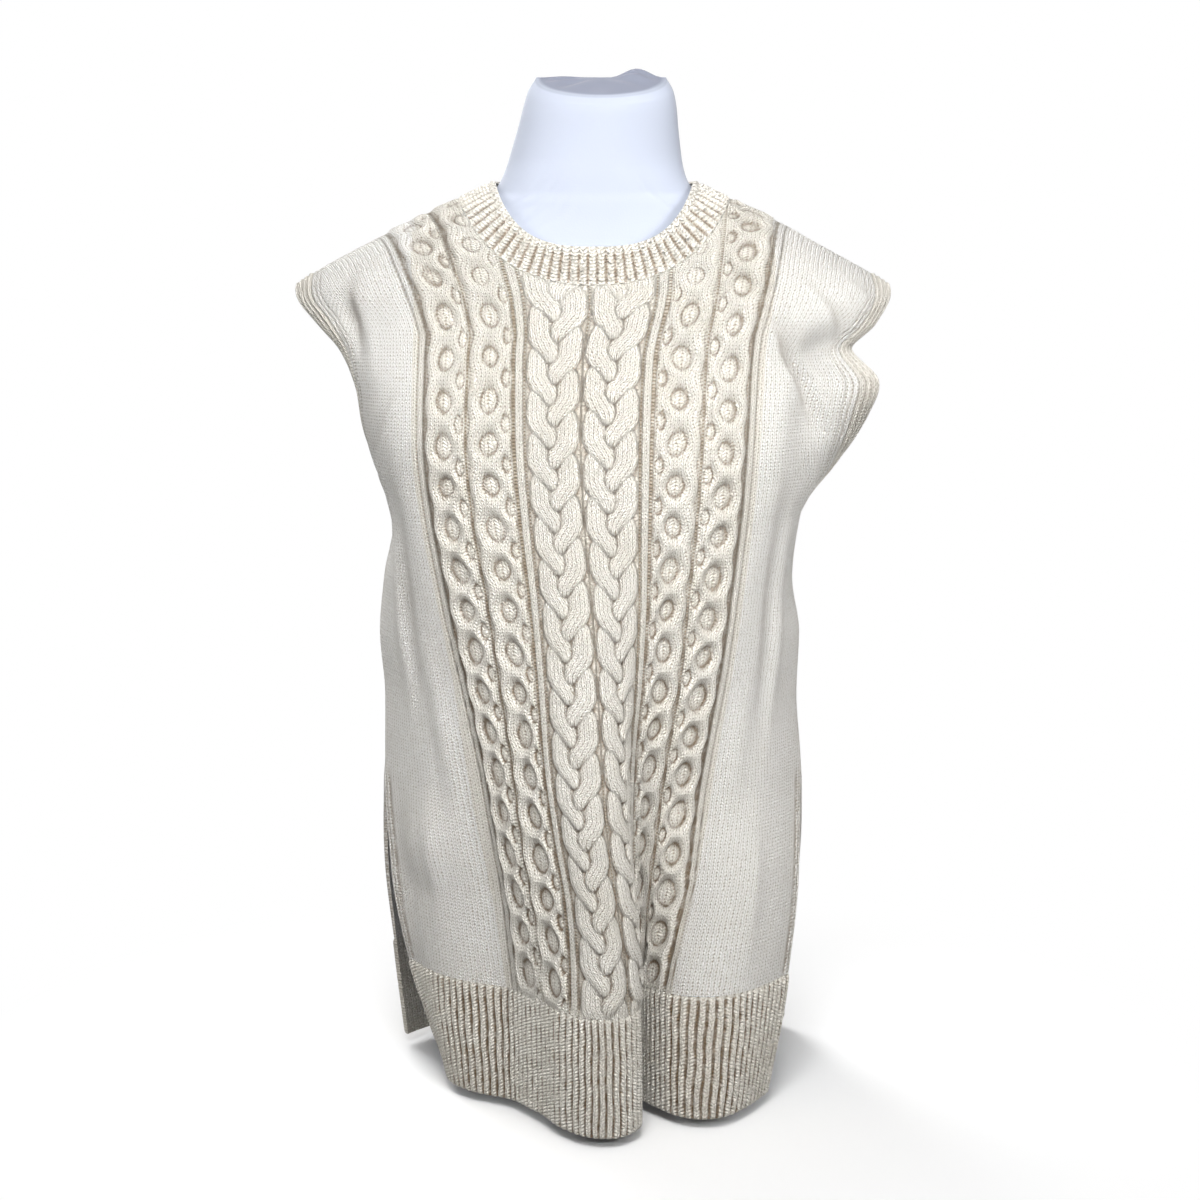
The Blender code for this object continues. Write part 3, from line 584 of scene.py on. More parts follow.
def chain(x, turn, seed):
    """A chain of cells eight stitches wide: thickness and wale shift at x stitches out from its middle."""
    turn = turn + 0.16 * np.sin(turn * 0.37 + seed)
    half_turn = np.mod(turn + math.pi, 2.0 * math.pi) - math.pi
    side_turn = np.mod(turn, 2.0 * math.pi) - math.pi
    which = np.round((turn - half_turn) / (2.0 * math.pi))
    crossing = 0.5 - 0.5 * np.cos(turn)
    rise = REPEAT / (2.0 * math.pi) / WALE
    low = soft_step(-turn * REPEAT / (2.0 * math.pi), 0.10, 0.42)
    size = 1.0 + 0.10 * np.sin(which * 2.4 + seed) + 0.16 * low
    lean = 0.12 * np.sin(which * 1.7 + 2.0 * seed)
    middle = oval(x + lean * half_turn * rise, half_turn * rise, CELL[0] * size, CELL[1] * size)
    near = np.minimum(middle, oval(x - BEAD_X, side_turn * rise, *BEAD))
    edge = CHAIN_HALF - CHAIN_WAIST * crossing
    away = np.minimum((near - 1.0) * 1.7, (edge - np.abs(x)) * 1.6)
    round_up = 1.0 - (1.0 - np.clip(away / 2.0, 0.0, 1.0)) ** 2.2
    swell = hump((middle - 1.45) / 0.85) - 0.7 * hump((np.abs(x) - 2.9) / 1.4) * crossing
    crest = between(GROUND, CREST, 0.10 + 0.90 * round_up) + 0.0007 * swell * round_up
    crest = np.maximum(crest, GROUND + 0.0024 * hump((x + 4.10) / 0.45))
    tilt = np.clip(x / 1.7, -1.0, 1.0) * (np.abs(x) < 2.2)
    floor = GROUND - 0.0001 - 0.0005 * tilt + 0.0008 * np.maximum(1.0 - near ** 2, 0.0)
    thick = np.where(near < 1.0, floor, crest)
    shift = -np.sign(x) * 0.62 * np.cos(turn) * np.sin(np.clip(np.abs(x) / 4.0, 0.0, 1.0) * math.pi)
    return thick, shift


def plait(x, time):
    """A plait of three strands: thickness, stitches across and rows along at x stitches off its middle."""
    steps = np.linspace(LOBE["time"][0], LOBE["time"][-1], 56)
    half = np.interp(steps, LOBE["time"], LOBE["half"])
    lift = np.interp(steps, LOBE["time"], LOBE["lift"])
    thick = np.full(np.shape(x), GROUND)
    across = np.zeros(np.shape(x))
    along = np.zeros(np.shape(x))
    for hand, stop in PLAIT_STOP:
        path = -PLAIT_REST + (PLAIT_REST - stop) * soft_step(steps, -PLAIT_CROSS, PLAIT_CROSS)
        path += PLAIT_REST * (1.0 - soft_step(steps + 2.0, -PLAIT_CROSS, PLAIT_CROSS))
        way_x = np.gradient(path)
        way_y = np.gradient(steps * PLAIT_RISE)
        run = np.cumsum(np.hypot(way_x, way_y))
        late = np.mod(time - (hand + 1.0) / 2.0, 2.0)
        for back in (0.0, 2.0, 4.0):
            best = np.full(np.shape(x), 9.0)
            found = np.zeros(np.shape(x), int)
            for i, step in enumerate(steps):
                gap = np.hypot(-hand * x - path[i], (late - back - step) * PLAIT_RISE) / half[i]
                found = np.where(gap < best, i, found)
                best = np.minimum(gap, best)
            rounded = np.maximum(1.0 - best ** 2.2, 0.0) ** 0.65
            body = PLAIT_CREST - LOBE_HEIGHT * (LOBE_TOP - lift[found]) + LOBE_SIDE * (rounded - 1.0)
            body = np.where(best < 1.0, body, GROUND)
            won = body > thick
            off_x = -hand * x - path[found]
            off_y = (late - back - steps[found]) * PLAIT_RISE
            side = (off_x * way_y[found] - off_y * way_x[found]) / np.hypot(way_x, way_y)[found]
            thick = np.where(won, body, thick)
            across = np.where(won, side + 0.5, across)
            along = np.where(won, run[found] * WALE / COURSE, along)
    return thick, across, along


def pattern_place(s, h):
    """Where a place on the cloth lies in the even knitting pattern."""
    lift = np.maximum(h - 0.655, 0.0)
    place = s + np.maximum(h - 0.635, 0.0) / 0.08 * (0.007 - 0.135 * s)
    for k in range(len(PATTERN_SLIDE["s"])):
        row = {key: column[k] for key, column in PATTERN_SLIDE.items()}
        near = hump((s - row["s"]) / row["half_s"]) * hump((h - row["h"]) / row["half_h"])
        place = place + row["slide"] * near
    return place, h + 4.3 * lift ** 2


def cable_field(s, h):
    """Thickness, stitch and row counts and purl share over the cable field."""
    s, h = pattern_place(s, h)
    count = np.abs(s) / WALE
    hand = np.where(s < 0.0, -1.0, 1.0)
    thick = np.full(np.shape(s), GROUND)
    across = s / WALE
    along = h / COURSE
    purl = np.ones(np.shape(s))
    chains = 0
    for kind, start, end in MOTIFS:
        inside = (count > start) & (count < end)
        x = ((count - (start + end) / 2.0) * hand)[inside]
        up = h[inside]
        side = hand[inside]
        edge = np.minimum(count - start, end - count)[inside]
        v = up / COURSE
        if kind == "ladder":
            body = PLAIN - 0.0004 * hump(x / 0.25)
            u = x / LADDER_HALF
        elif kind == "chain":
            first = np.where(side < 0.0, CHAIN_START[-1.0][chains], CHAIN_START[1.0][chains])
            body, shift = chain(x * side, (up - first) * 2.0 * math.pi / REPEAT, 1.3 * chains + side)
            chains += 1
            u = x * side + shift
        else:
            first = np.where(side < 0.0, PLAIT_START[-1.0], PLAIT_START[1.0])
            time = (first - up) * 2.0 / REPEAT
            body, u, v = plait(x, time + 0.10 * np.sin(time * 0.31 + side))
        body = GROUND + (body - GROUND) * soft_step(edge, 0.0, MOTIF_EASE)
        thick[inside] = body
        purl[inside] = 0.0
        across[inside] = u
        along[inside] = v
    outer = soft_step(count, 35.00, 35.35)
    thick = thick * (1.0 - outer) + PLAIN * outer
    purl = purl * (1.0 - soft_step(count, 35.30, 35.40))
    return thick, across, along, purl


def blur(field, reaches):
    """A field of points evened out over so many points up and across."""
    out = field
    for axis, reach in enumerate(reaches):
        weights = np.hanning(2 * reach + 3)[1:-1]
        ends = [(0, 0), (0, 0)]
        ends[axis] = (reach, reach)
        padded = np.pad(out, ends, mode="edge")
        out = np.apply_along_axis(np.convolve, axis, padded, weights / weights.sum(), mode="valid")
    return out


def crevices(thick, steps):
    """Share of painted shade in the hollows: most under an edge that overhangs from above, where its shadow
    falls.
    """
    close = [max(int(round(0.0040 / step)), 1) for step in steps]
    wide = [max(int(round(0.0100 / step)), 1) for step in steps]
    line = np.clip((blur(thick, close) - thick - 0.0001) / 0.0009, 0.0, 1.0)
    hollow = np.clip((blur(thick, wide) - thick) / 0.0030, 0.0, 1.0)
    shift = max(close[0] // 2, 1)
    above = np.concatenate([thick[shift:], thick[-1:].repeat(shift, axis=0)])
    under = np.clip((above - thick - 0.0006) / 0.0020, 0.0, 1.0)
    low = np.clip((0.0024 - thick) / 0.0010, 0.0, 1.0)
    return np.clip(0.70 * line + 0.50 * under + 0.65 * hollow + 0.28 * low, 0.0, 1.0)


def plain_field(s, h):
    """Thickness, stitch and row counts and purl share of plain knitting."""
    flat = np.zeros(np.shape(s))
    return flat + PLAIN, s / WALE, h / COURSE, flat


def rib(place, pitch):
    """A rib's rise from 0 in its groove to 1 on its crest, at a place along the band."""
    wave = np.cos(2.0 * math.pi * place / pitch)
    return 0.5 + 0.5 * np.sign(wave) * np.abs(wave) ** 0.7


def selvedge(s, h, thick):
    """Two raised stitches along the slits, and the roll of the free edge."""
    low = 1.0 - soft_step(h, cloth_height(SLIT_Z) - 0.01, cloth_height(SLIT_Z) + 0.01)
    out = HALF_WIDTH - np.abs(s)
    wave = rib(out - 0.0030, EDGE_PITCH) * (1.0 - soft_step(out, 0.0080, 0.0095))
    groove = hump((out - 0.0092) / 0.0026)
    return thick + low * (0.0014 * wave - 0.0011 * groove)


# Soft creases and swells of the cloth: middle, half length along and across, lean and depth.
FRONT_CREASES = table(
    "s h half_s half_h lean depth",
    (-0.178, 0.420, 0.016, 0.150, 0.10, -0.0026),
    (-0.196, 0.400, 0.015, 0.130, 0.06, 0.0026),
    (-0.160, 0.300, 0.018, 0.110, -0.05, 0.0022),
    (-0.205, 0.500, 0.012, 0.070, 0.40, 0.0024),
    (-0.186, 0.545, 0.011, 0.060, 0.55, -0.0020),
    (-0.200, 0.652, 0.014, 0.050, 0.30, -0.0046),
    (-0.182, 0.640, 0.014, 0.055, 0.25, 0.0014),
    (0.176, 0.400, 0.014, 0.170, -0.06, -0.0028),
    (0.196, 0.380, 0.014, 0.150, -0.04, 0.0026),
    (0.156, 0.270, 0.016, 0.120, 0.04, 0.0020),
    (0.172, 0.606, 0.014, 0.070, -0.62, -0.0056),
    (0.196, 0.590, 0.015, 0.055, -0.55, 0.0022),
    (0.202, 0.520, 0.012, 0.060, -0.45, 0.0022),
    (0.196, 0.652, 0.011, 0.042, -1.05, -0.0028),
    (0.212, 0.668, 0.010, 0.036, -1.00, 0.0016),
    (-0.190, 0.180, 0.014, 0.100, 0.05, 0.0020),
    (-0.254, 0.150, 0.030, 0.124, 0.00, 0.0056),
    (0.186, 0.160, 0.014, 0.090, -0.05, 0.0022),
)
BACK_CREASES = table(
    "s h half_s half_h lean depth",
    (-0.150, 0.430, 0.018, 0.160, 0.08, 0.0057),
    (-0.118, 0.380, 0.016, 0.140, 0.05, -0.0046),
    (0.140, 0.410, 0.017, 0.170, -0.07, 0.0057),
    (0.168, 0.440, 0.014, 0.120, -0.10, -0.0042),
    (-0.030, 0.330, 0.020, 0.170, 0.03, 0.0053),
    (0.045, 0.300, 0.018, 0.140, -0.04, 0.0046),
    (-0.185, 0.580, 0.014, 0.080, 0.45, 0.0049),
    (0.188, 0.590, 0.014, 0.075, -0.50, 0.0053),
    (-0.060, 0.600, 0.030, 0.050, 0.60, 0.0030),
    (0.080, 0.640, 0.030, 0.045, -0.50, 0.0030),
)


def creases(s, h, rows):
    """How far the cloth stands out along its soft creases."""
    out = np.zeros(np.shape(s))
    for k in range(len(rows["s"])):
        up = h - rows["h"][k]
        side = s - rows["s"][k] - rows["lean"][k] * up
        out = out + rows["depth"][k] * hump(side / rows["half_s"][k]) * hump(up / rows["half_h"][k])
    return out


# ------------------------------------------------------------------ shells
INNER_STEP = 4      # the inner face has every fourth point of the outer one
INNER_PURL = 0.35   # and shows its stitches this much as purl
foot = np.array([v.co[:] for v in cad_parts["dress_form"].data.vertices])
foot = foot[foot[:, 2] < foot[:, 2].min() + 1e-5]
SHIFT = np.array([foot[:, 0].min() + foot[:, 0].max(),
                  foot[:, 1].min() + foot[:, 1].max() - FORM["front"][0] - FORM["back"][0], 0.0]) / 2.0


def coarse(count):
    """Every fourth index, with the last one."""
    picked = list(range(0, count - 1, INNER_STEP))
    if count - 1 - picked[-1] < 2:
        picked.pop()
    return picked + [count - 1]


def rim(outer, inner):
    """Triangles that join a fine edge to a coarse one: outer ids, and inner ids by outer place."""
    faces = []
    marks = sorted(inner)
    for a, b in zip(marks[:-1], marks[1:]):
        middle = (a + b) // 2
        for k in range(a, middle):
            faces.append((inner[a], outer[k], outer[k + 1]))
        faces.append((inner[a], outer[middle], inner[b]))
        for k in range(middle, b):
            faces.append((inner[b], outer[k], outer[k + 1]))
    return faces


def shell(name, outer, inner, data, ring=False):
    """A closed thin shell. data holds stitch and row counts, purl share and shade per outer point."""
    rows, columns = outer.shape[:2]
    row_pick = coarse(rows + 1)[:-1] if ring else coarse(rows)
    column_pick = coarse(columns)
    pick = np.ix_(row_pick, column_pick)
    inside = inner[pick]
    count = rows * columns
    vertices = np.concatenate([outer.reshape(-1, 3), inside.reshape(-1, 3)]) + SHIFT
    ids = np.arange(count).reshape(rows, columns)
    low = count + np.arange(inside.shape[0] * inside.shape[1]).reshape(inside.shape[:2])
    if ring:
        ids = np.concatenate([ids, ids[:1]])
        low = np.concatenate([low, low[:1]])
        row_pick = row_pick + [rows]
    quads = np.stack([ids[:-1, :-1], ids[:-1, 1:], ids[1:, 1:], ids[1:, :-1]], -1).reshape(-1, 4)
    under = np.stack([low[:-1, :-1], low[1:, :-1], low[1:, 1:], low[:-1, 1:]], -1).reshape(-1, 4)
    lines = [(ids[:, 0], low[:, 0], row_pick, False), (ids[:, -1], low[:, -1], row_pick, True)]
    if not ring:
        lines += [(ids[0], low[0], column_pick, True), (ids[-1], low[-1], column_pick, False)]
    edges = []
    for fine, wide, marks, flip in lines:
        part = rim(fine.tolist(), dict(zip(marks, wide.tolist())))
        edges += [face[::-1] for face in part] if flip else part
    mesh = bpy.data.meshes.new(name)
    mesh.from_pydata(vertices.tolist(), [], quads.tolist() + under.tolist() + edges)
    loops = np.zeros(len(mesh.loops), int)
    mesh.loops.foreach_get("vertex_index", loops)
    across, along, purl, shade = [np.concatenate([d.reshape(-1), d[pick].reshape(-1)]) for d in data]
    purl[count:] = INNER_PURL
    shade[count:] = 0.0
    layer = mesh.uv_layers.new(name="stitches")
    layer.data.foreach_set("uv", np.stack([across[loops], along[loops]], -1).reshape(-1))
    for label, values in (("purl", purl), ("shade", shade)):
        attribute = mesh.attributes.new(label, "FLOAT", "POINT")
        attribute.data.foreach_set("value", values.astype(np.float32))
    mesh.shade_smooth()
    mesh.set_sharp_from_angle(angle=math.radians(70.0))
    item = bpy.data.objects.new(name, mesh)
    bpy.context.scene.collection.objects.link(item)
    return item


def flat_area(s, h):
    """Area of a piece laid flat."""
    rising = (s[1:, 1:] - s[:-1, :-1], h[1:, 1:] - h[:-1, :-1])
    falling = (s[1:, :-1] - s[:-1, 1:], h[1:, :-1] - h[:-1, 1:])
    return float(np.abs(rising[0] * falling[1] - rising[1] * falling[0]).sum() / 2.0)


def round_off(thick, left, low):
    """Thickness near a free edge: left is the way to the edge, low the share that is kept there."""
    return thick * (low + (1.0 - low) * np.sqrt(np.clip(left / BASE, 0.0, 1.0)))


CREASE_DEEP = 0.0045    # depth at which a crease gets its full painted shade
CREASE_STEEP = 0.45     # slope at which its side that falls outwards gets its full painted shade
CREASE_SHADE = 0.26     # most painted shade that each of the two brings


def shading(s, h, thick, fold):
    """Share of painted shade on the cloth: in its crevices, low down on its plain sides and in its creases.
    """
    steps = (np.median(np.diff(h[:, 0])), np.median(np.abs(np.diff(s[0]))))
    off_seam = soft_step(np.abs(h - RIB_H), 0.0005, 0.0050)
    # painted shade in the crevices, left off at the hem seam and lighter towards the shoulders
    shade = crevices(thick, steps) * off_seam * (1.05 - 0.27 * soft_step(h, 0.18, 0.56))
    # painted shade low down on the plain sides, for the light falling off towards the hem
    shade = shade + 0.17 * (1.0 - soft_step(h, 0.10, 0.46)) * (np.abs(s) > FIELD_S - 0.004)
    # painted shade in the creases' hollows and on their sides that fall outwards, away from the light
    fall = -np.gradient(fold, axis=1) / np.gradient(s, axis=1) * np.sign(s)
    hollow = np.clip(-fold / CREASE_DEEP, 0.0, 1.0)
    turned = np.clip(fall / CREASE_STEEP, 0.0, 1.0)
    return np.maximum(shade, CREASE_SHADE * hollow + CREASE_SHADE * turned)


def knit(name, panel, s, h, look, edge=None):
    """A shell over flat coordinates s and h with the relief of look. edge is the height of a free edge."""
    out = shared(panel, s, h)
    fold = creases(s, h, FRONT_CREASES if panel is FRONT else BACK_CREASES)
    inner = lay(panel, s, h) + out * fold[..., None]
    thick, across, along, purl = look(s, h)
    thick = selvedge(s, h, thick)
    shade = shading(s, h, thick, fold)
    if edge is not None:
        thick = round_off(thick, h - edge, 0.45)
    item = shell(name, inner + out * thick[..., None], inner, (across, along, purl, shade))
    item["flat_area"] = flat_area(s, h)
    return item


def edge_reach(h):
    """Half width of a panel at a flat height: it narrows in a round corner at the underarm."""
    corner = np.clip(1.0 - (h - UNDERARM_H) / ARMHOLE_CORNER, 0.0, 1.0)
    return ARM_S + BAND * (1.0 - np.sin(np.arccos(corner)))


def panel_rows(fine):
    """Rows up a panel: heights of the straight part and shares of the yoke."""
    corner = UNDERARM_H + ARMHOLE_CORNER * (1.0 - np.cos(np.linspace(0.0, math.pi / 2.0, int(0.05 / fine))))
    low = np.linspace(RIB_H + SEAM / 2.0, UNDERARM_H, int((UNDERARM_H - RIB_H) / fine))[:-1]
    high = np.linspace(corner[-1], YOKE_H, int((YOKE_H - corner[-1]) / fine))[1:]
    share = np.linspace(0.0, 1.0, int(0.11 / fine))[1:]
    return np.concatenate([low, corner, high]), share


def panel_top(s, drop):
    """Height of a panel's top over a place across: the neck seam, and the shoulder line beyond it."""
    neck = NECK_Z - drop * neck_curve(np.clip(np.abs(s) / NECK_S, 0.0, 1.0))
    return np.where(np.abs(s) < NECK_S, neck, shoulder(s))


def panel_grid(columns, fine, drop, side):
    """s and h of a panel's part. With a side, its columns are shares of the way out to the edge."""
    heights, share = panel_rows(fine)
    gap = SEAM / 2.0
    s, h = np.meshgrid(columns, heights)
    if side is not None:
        s = side * (FIELD_S + (edge_reach(h) - gap - FIELD_S) * s)
    yoke = YOKE_H + (panel_top(s[-1], drop) - gap - YOKE_H) * share[:, None]
    return np.concatenate([s, np.tile(s[-1], (len(share), 1))]), np.concatenate([h, yoke])


def neck_columns(fine, reach):
    """Places across a panel's middle, bunched where the neck seam runs steeply."""
    inside = NECK_S * np.sin(np.linspace(0.0, math.pi / 2.0, int(NECK_S * math.pi / 2.0 / fine)))
    outside = np.linspace(NECK_S, reach, max(int((reach - NECK_S) / fine), 3))[1:]
    right = np.concatenate([inside, outside])
    return np.concatenate([-right[:0:-1], right])


def armhole_gap(s, h):
    """Distance in from the armhole seam, large below it."""
    return np.where(h < UNDERARM_H, 1.0, edge_reach(h) - np.abs(s))


def front_look(s, h):
    """Cables in the field and plain knitting beside it, eased into the rib and the seams."""
    thick, across, along, purl = cable_field(s, h)
    out = armhole_gap(s, h)
    ridge = rib(out - 0.5 * EDGE_PITCH, EDGE_PITCH) - 0.7
    thick = thick + 0.0013 * ridge * (1.0 - soft_step(out, 1.9 * EDGE_PITCH, 2.1 * EDGE_PITCH))
    thick = between(CABLE_FOOT, thick, soft_step(h, RIB_H - 0.002, RIB_H + 0.011))
    near = panel_top(s, FRONT_DROP) - h
    tall = soft_step(near, -0.001, 0.006) * (0.45 + 0.55 * soft_step(near, 0.004, 0.045))
    return between(BASE, thick, tall), across, along, purl


def back_look(s, h):
    """Plain knitting on the back."""
    thick, across, along, purl = plain_field(s, h)
    thick = between(RIB_TOP, thick, soft_step(h, RIB_H, RIB_H + 0.008))
    near = panel_top(s, BACK_DROP) - h
    return between(BASE, thick, soft_step(near, -0.001, 0.006)), across, along, purl


def hem_look(s, h):
    """The deep rib of a hem, a little uneven, which fades into the knitting above."""
    place = s + 0.0004 * np.sin(h * 140.0 + s * 90.0)
    rise = 1.0 - (1.0 - rib(place, RIB_PITCH)) ** 2.4
    fade = 1.0 - soft_step(h, RIB_H - 0.004, RIB_H + 0.001)
    thick = between(RIB_TOP, 0.0008 + 0.0034 * rise, fade)
    return thick, s / RIB_PITCH + 0.5, h / COURSE, np.zeros(np.shape(s))


FINE = 0.0014


def build_front():
    """The front panel in four parts: the halves of the cable field and the plain sides."""
    made = []
    middle = neck_columns(FINE * 0.84, FIELD_S)
    halves = {"front_left_cables": middle[middle < 1e-9], "front_right_cables": middle[middle > -1e-9]}
    for name, columns in halves.items():
        s, h = panel_grid(columns, FINE, FRONT_DROP, None)
        made.append(knit(name, FRONT, s, h, front_look))
    out = np.linspace(0.0, 1.0, int(0.11 / (FINE * 1.2)))
    for name, hand in (("front_left_side", -1.0), ("front_right_side", 1.0)):
        s, h = panel_grid(out if hand > 0.0 else out[::-1], FINE, FRONT_DROP, hand)
        made.append(knit(name, FRONT, s, h, front_look))
    return made


def build_back():
    """The back panel in plain knitting."""
    s, h = panel_grid(neck_columns(FINE * 1.6, ARM_S), FINE * 1.7, BACK_DROP, None)
    s = s / ARM_S * (edge_reach(h) - SEAM / 2.0)
    return knit("back_plain_panel", BACK, s, h, back_look)


def build_hem(name, panel):
    """The rib along the lower edge of a panel."""
    reach = HALF_WIDTH - SEAM / 2.0
    across = np.linspace(-reach, reach, int(2.0 * HALF_WIDTH / (FINE * 0.55)))
    up = np.linspace(HEM_H, RIB_H - SEAM / 2.0, int(RIB / (FINE * 1.3)))
    up = np.concatenate([[HEM_H, HEM_H + 0.0003, HEM_H + 0.0008], up[1:]])
    s, h = np.meshgrid(across, up)
    return knit(name, panel, s, h, hem_look, edge=HEM_H)


def ring_shell(name, s, h, panels, thick, across, along, shade):
    """A band's closed ring from its rows of flat coordinates on the front and on the back."""
    inner = []
    outer = []
    start = 0
    for panel, rows in panels:
        part = slice(start, start + rows)
        p = lay(panel, s[part], h[part])
        inner.append(p)
        outer.append(p + shared(panel, s[part], h[part]) * thick[part][..., None])
        start += rows
    data = (across, along, np.zeros(shade.shape), shade)
    return shell(name, np.concatenate(outer), np.concatenate(inner), data, ring=True)


def length_along(s, h):
    """Length of a line of flat places up to each of them."""
    return np.concatenate([[0.0], np.cumsum(np.hypot(np.diff(s), np.diff(h)))])


def build_neckband():
    """The ribbed neckband, a ring from the neck seam to its free edge."""
    gap = SEAM / 2.0
    steps = np.concatenate([np.linspace(0.0, 0.9, 14), np.linspace(0.9, 1.0, 6)[1:]])
    turns = np.linspace(-1.0, 1.0, int(0.30 / (FINE * 0.62)))[:-1] * math.pi / 2.0
    s_rows = []
    h_rows = []
    for drop, hand in ((FRONT_DROP, 1.0), (BACK_DROP, -1.0)):
        seam_s, seam_h, way_s, way_h = neck_seam(turns * hand, drop)
        draw = -np.sign(turns * hand) * 0.92 * NECKBAND * np.abs(np.sin(turns)) ** 1.5
        lift = NECKBAND * (0.5 + 0.5 * np.cos(turns) ** 2)
        s = (seam_s + gap * way_s)[:, None] + draw[:, None] * steps
        s_rows.append(s)
        h_rows.append(np.minimum((seam_h + gap * way_h)[:, None] + lift[:, None] * steps, shoulder(s)))
    s = np.concatenate(s_rows)
    h = np.concatenate(h_rows)
    middle = len(steps) // 2
    run = length_along(np.append(s[:, middle], s[0, middle]), np.append(h[:, middle], h[0, middle]))
    ribs = round(run[-1] / NECK_PITCH)
    place, up = np.meshgrid(run[:-1] / run[-1] * ribs, steps * NECKBAND, indexing="ij")
    rise = rib(place, 1.0)
    body = soft_step(up, 0.0, 0.003) * (1.0 - soft_step(up, NECKBAND - 0.0065, NECKBAND - 0.005))
    bind = soft_step(up, NECKBAND - 0.0055, NECKBAND - 0.004)
    thick = between(BASE, 0.0012 + 0.0026 * rise, body) + 0.0012 * bind
    thick = round_off(thick, NECKBAND - up, 0.4)
    # painted shade in the grooves between the ribs
    shade = (1.0 - rise) ** 2 * 0.9 * body
    parts = ((FRONT, len(turns)), (BACK, len(turns)))
    return ring_shell("neckband_rib", s, h, parts, thick, place + 0.5, up / COURSE, shade)


def build_armhole_band(name, hand):
    """The band round one armhole, with ridges along it."""
    gap = SEAM / 2.0
    steps = np.concatenate([np.linspace(0.0, 0.93, 30), np.linspace(0.93, 1.0, 5)[1:]])
    reach = gap + (BAND - gap) * steps
    turn = np.linspace(0.0, math.pi / 2.0, 24)
    top = shoulder(ARM_S)
    corner = UNDERARM_H + ARMHOLE_CORNER * (1.0 - np.cos(turn))
    rest = np.linspace(corner[-1], top, int((top - corner[-1]) / (FINE * 1.5)))[1:]
    h = np.concatenate([corner, rest])
    turn = np.concatenate([turn, np.full(len(rest), math.pi / 2.0)])
    seam_s = ARM_S + BAND * (1.0 - np.sin(turn))
    droop = SHOULDER_SLOPE * BAND * ease((h - top + 0.12) / 0.12)
    order = np.arange(len(h))
    runs = ((FRONT, order), (BACK, order[-2:0:-1]))
    s_rows = []
    h_rows = []
    for _, picked in runs:
        s = np.minimum(seam_s[picked][:, None] + np.sin(turn[picked])[:, None] * reach, HALF_WIDTH)
        up = h[picked][:, None] + np.cos(turn[picked])[:, None] * reach - droop[picked][:, None] * steps
        s_rows.append(hand * s)
        h_rows.append(np.minimum(up, shoulder(s)))
    s = np.concatenate(s_rows)
    h = np.concatenate(h_rows)
    out = np.tile(steps * BAND, (len(s), 1))
    rise = rib(out - 0.5 * EDGE_PITCH, EDGE_PITCH)
    body = soft_step(out, 0.0, 0.003)
    thick = round_off(between(BASE, 0.0016 + 0.0022 * rise, body), BAND - out, 0.4)
    run = length_along(s[:, 8], h[:, 8])[:, None] + np.zeros(len(steps))
    # painted shade in the grooves between the ridges
    shade = (1.0 - rise) ** 2 * 0.5 * body
    panels = tuple((panel, len(picked)) for panel, picked in runs)
    return ring_shell(name, s, h, panels, thick, out / EDGE_PITCH * 2.0, run / COURSE, shade)


# ------------------------------------------------------------------ the form's jersey
TOP_Z = FORM["z"][-1]
TOP_SLOPE = 0.018       # how far the front of the neck's top lies below its back
NECK_LEAN = 0.006       # how far the neck leans to the right at its top
KNOT_HEIGHT = 0.0065
# Pulls in the jersey: place round the form and width in degrees, lean, from and to which height, depth.
PULLS = (
    (222.0, 4.0, 5.0, 0.735, 0.815, 0.0012),
    (231.0, 3.5, 5.0, 0.730, 0.810, 0.0014),
    (239.0, 3.0, 4.0, 0.725, 0.805, 0.0012),
    (247.0, 3.5, 3.0, 0.720, 0.795, 0.0010),
    (256.0, 3.5, 2.0, 0.715, 0.780, 0.0008),
    (312.0, 4.0, -5.0, 0.740, 0.815, 0.0010),
    (75.0, 6.0, 3.0, 0.735, 0.800, 0.0008),
    (110.0, 7.0, -3.0, 0.735, 0.810, 0.0008),
)


def top_knot(x, y):
    """The small knot that closes the jersey on the neck's top, to the right of its middle."""
    return KNOT_HEIGHT * hump((x - 0.036) / 0.023) * hump((y - 0.006) / 0.034)


def crown(edge, slope, a):
    """Rings of jersey with small gathers from the neck's top edge inwards, and the point in their middle.
    """
    middle = (edge.max(0) + edge.min(0)) / 2.0
    rings = []
    for share in np.linspace(1.0, 0.0, 14)[1:-1]:
        ring = middle + share * (edge - middle)
        gathers = 0.0011 * np.sin(9.0 * a + 2.0 * np.sin(2.0 * a)) * hump((share - 0.6) / 0.4)
        ring[:, 2] = TOP_Z - slope * share ** 1.2 + top_knot(ring[:, 0], ring[:, 1]) + gathers
        rings.append(ring)
    middle[2] = TOP_Z + top_knot(middle[0], middle[1])
    return np.array(rings), middle


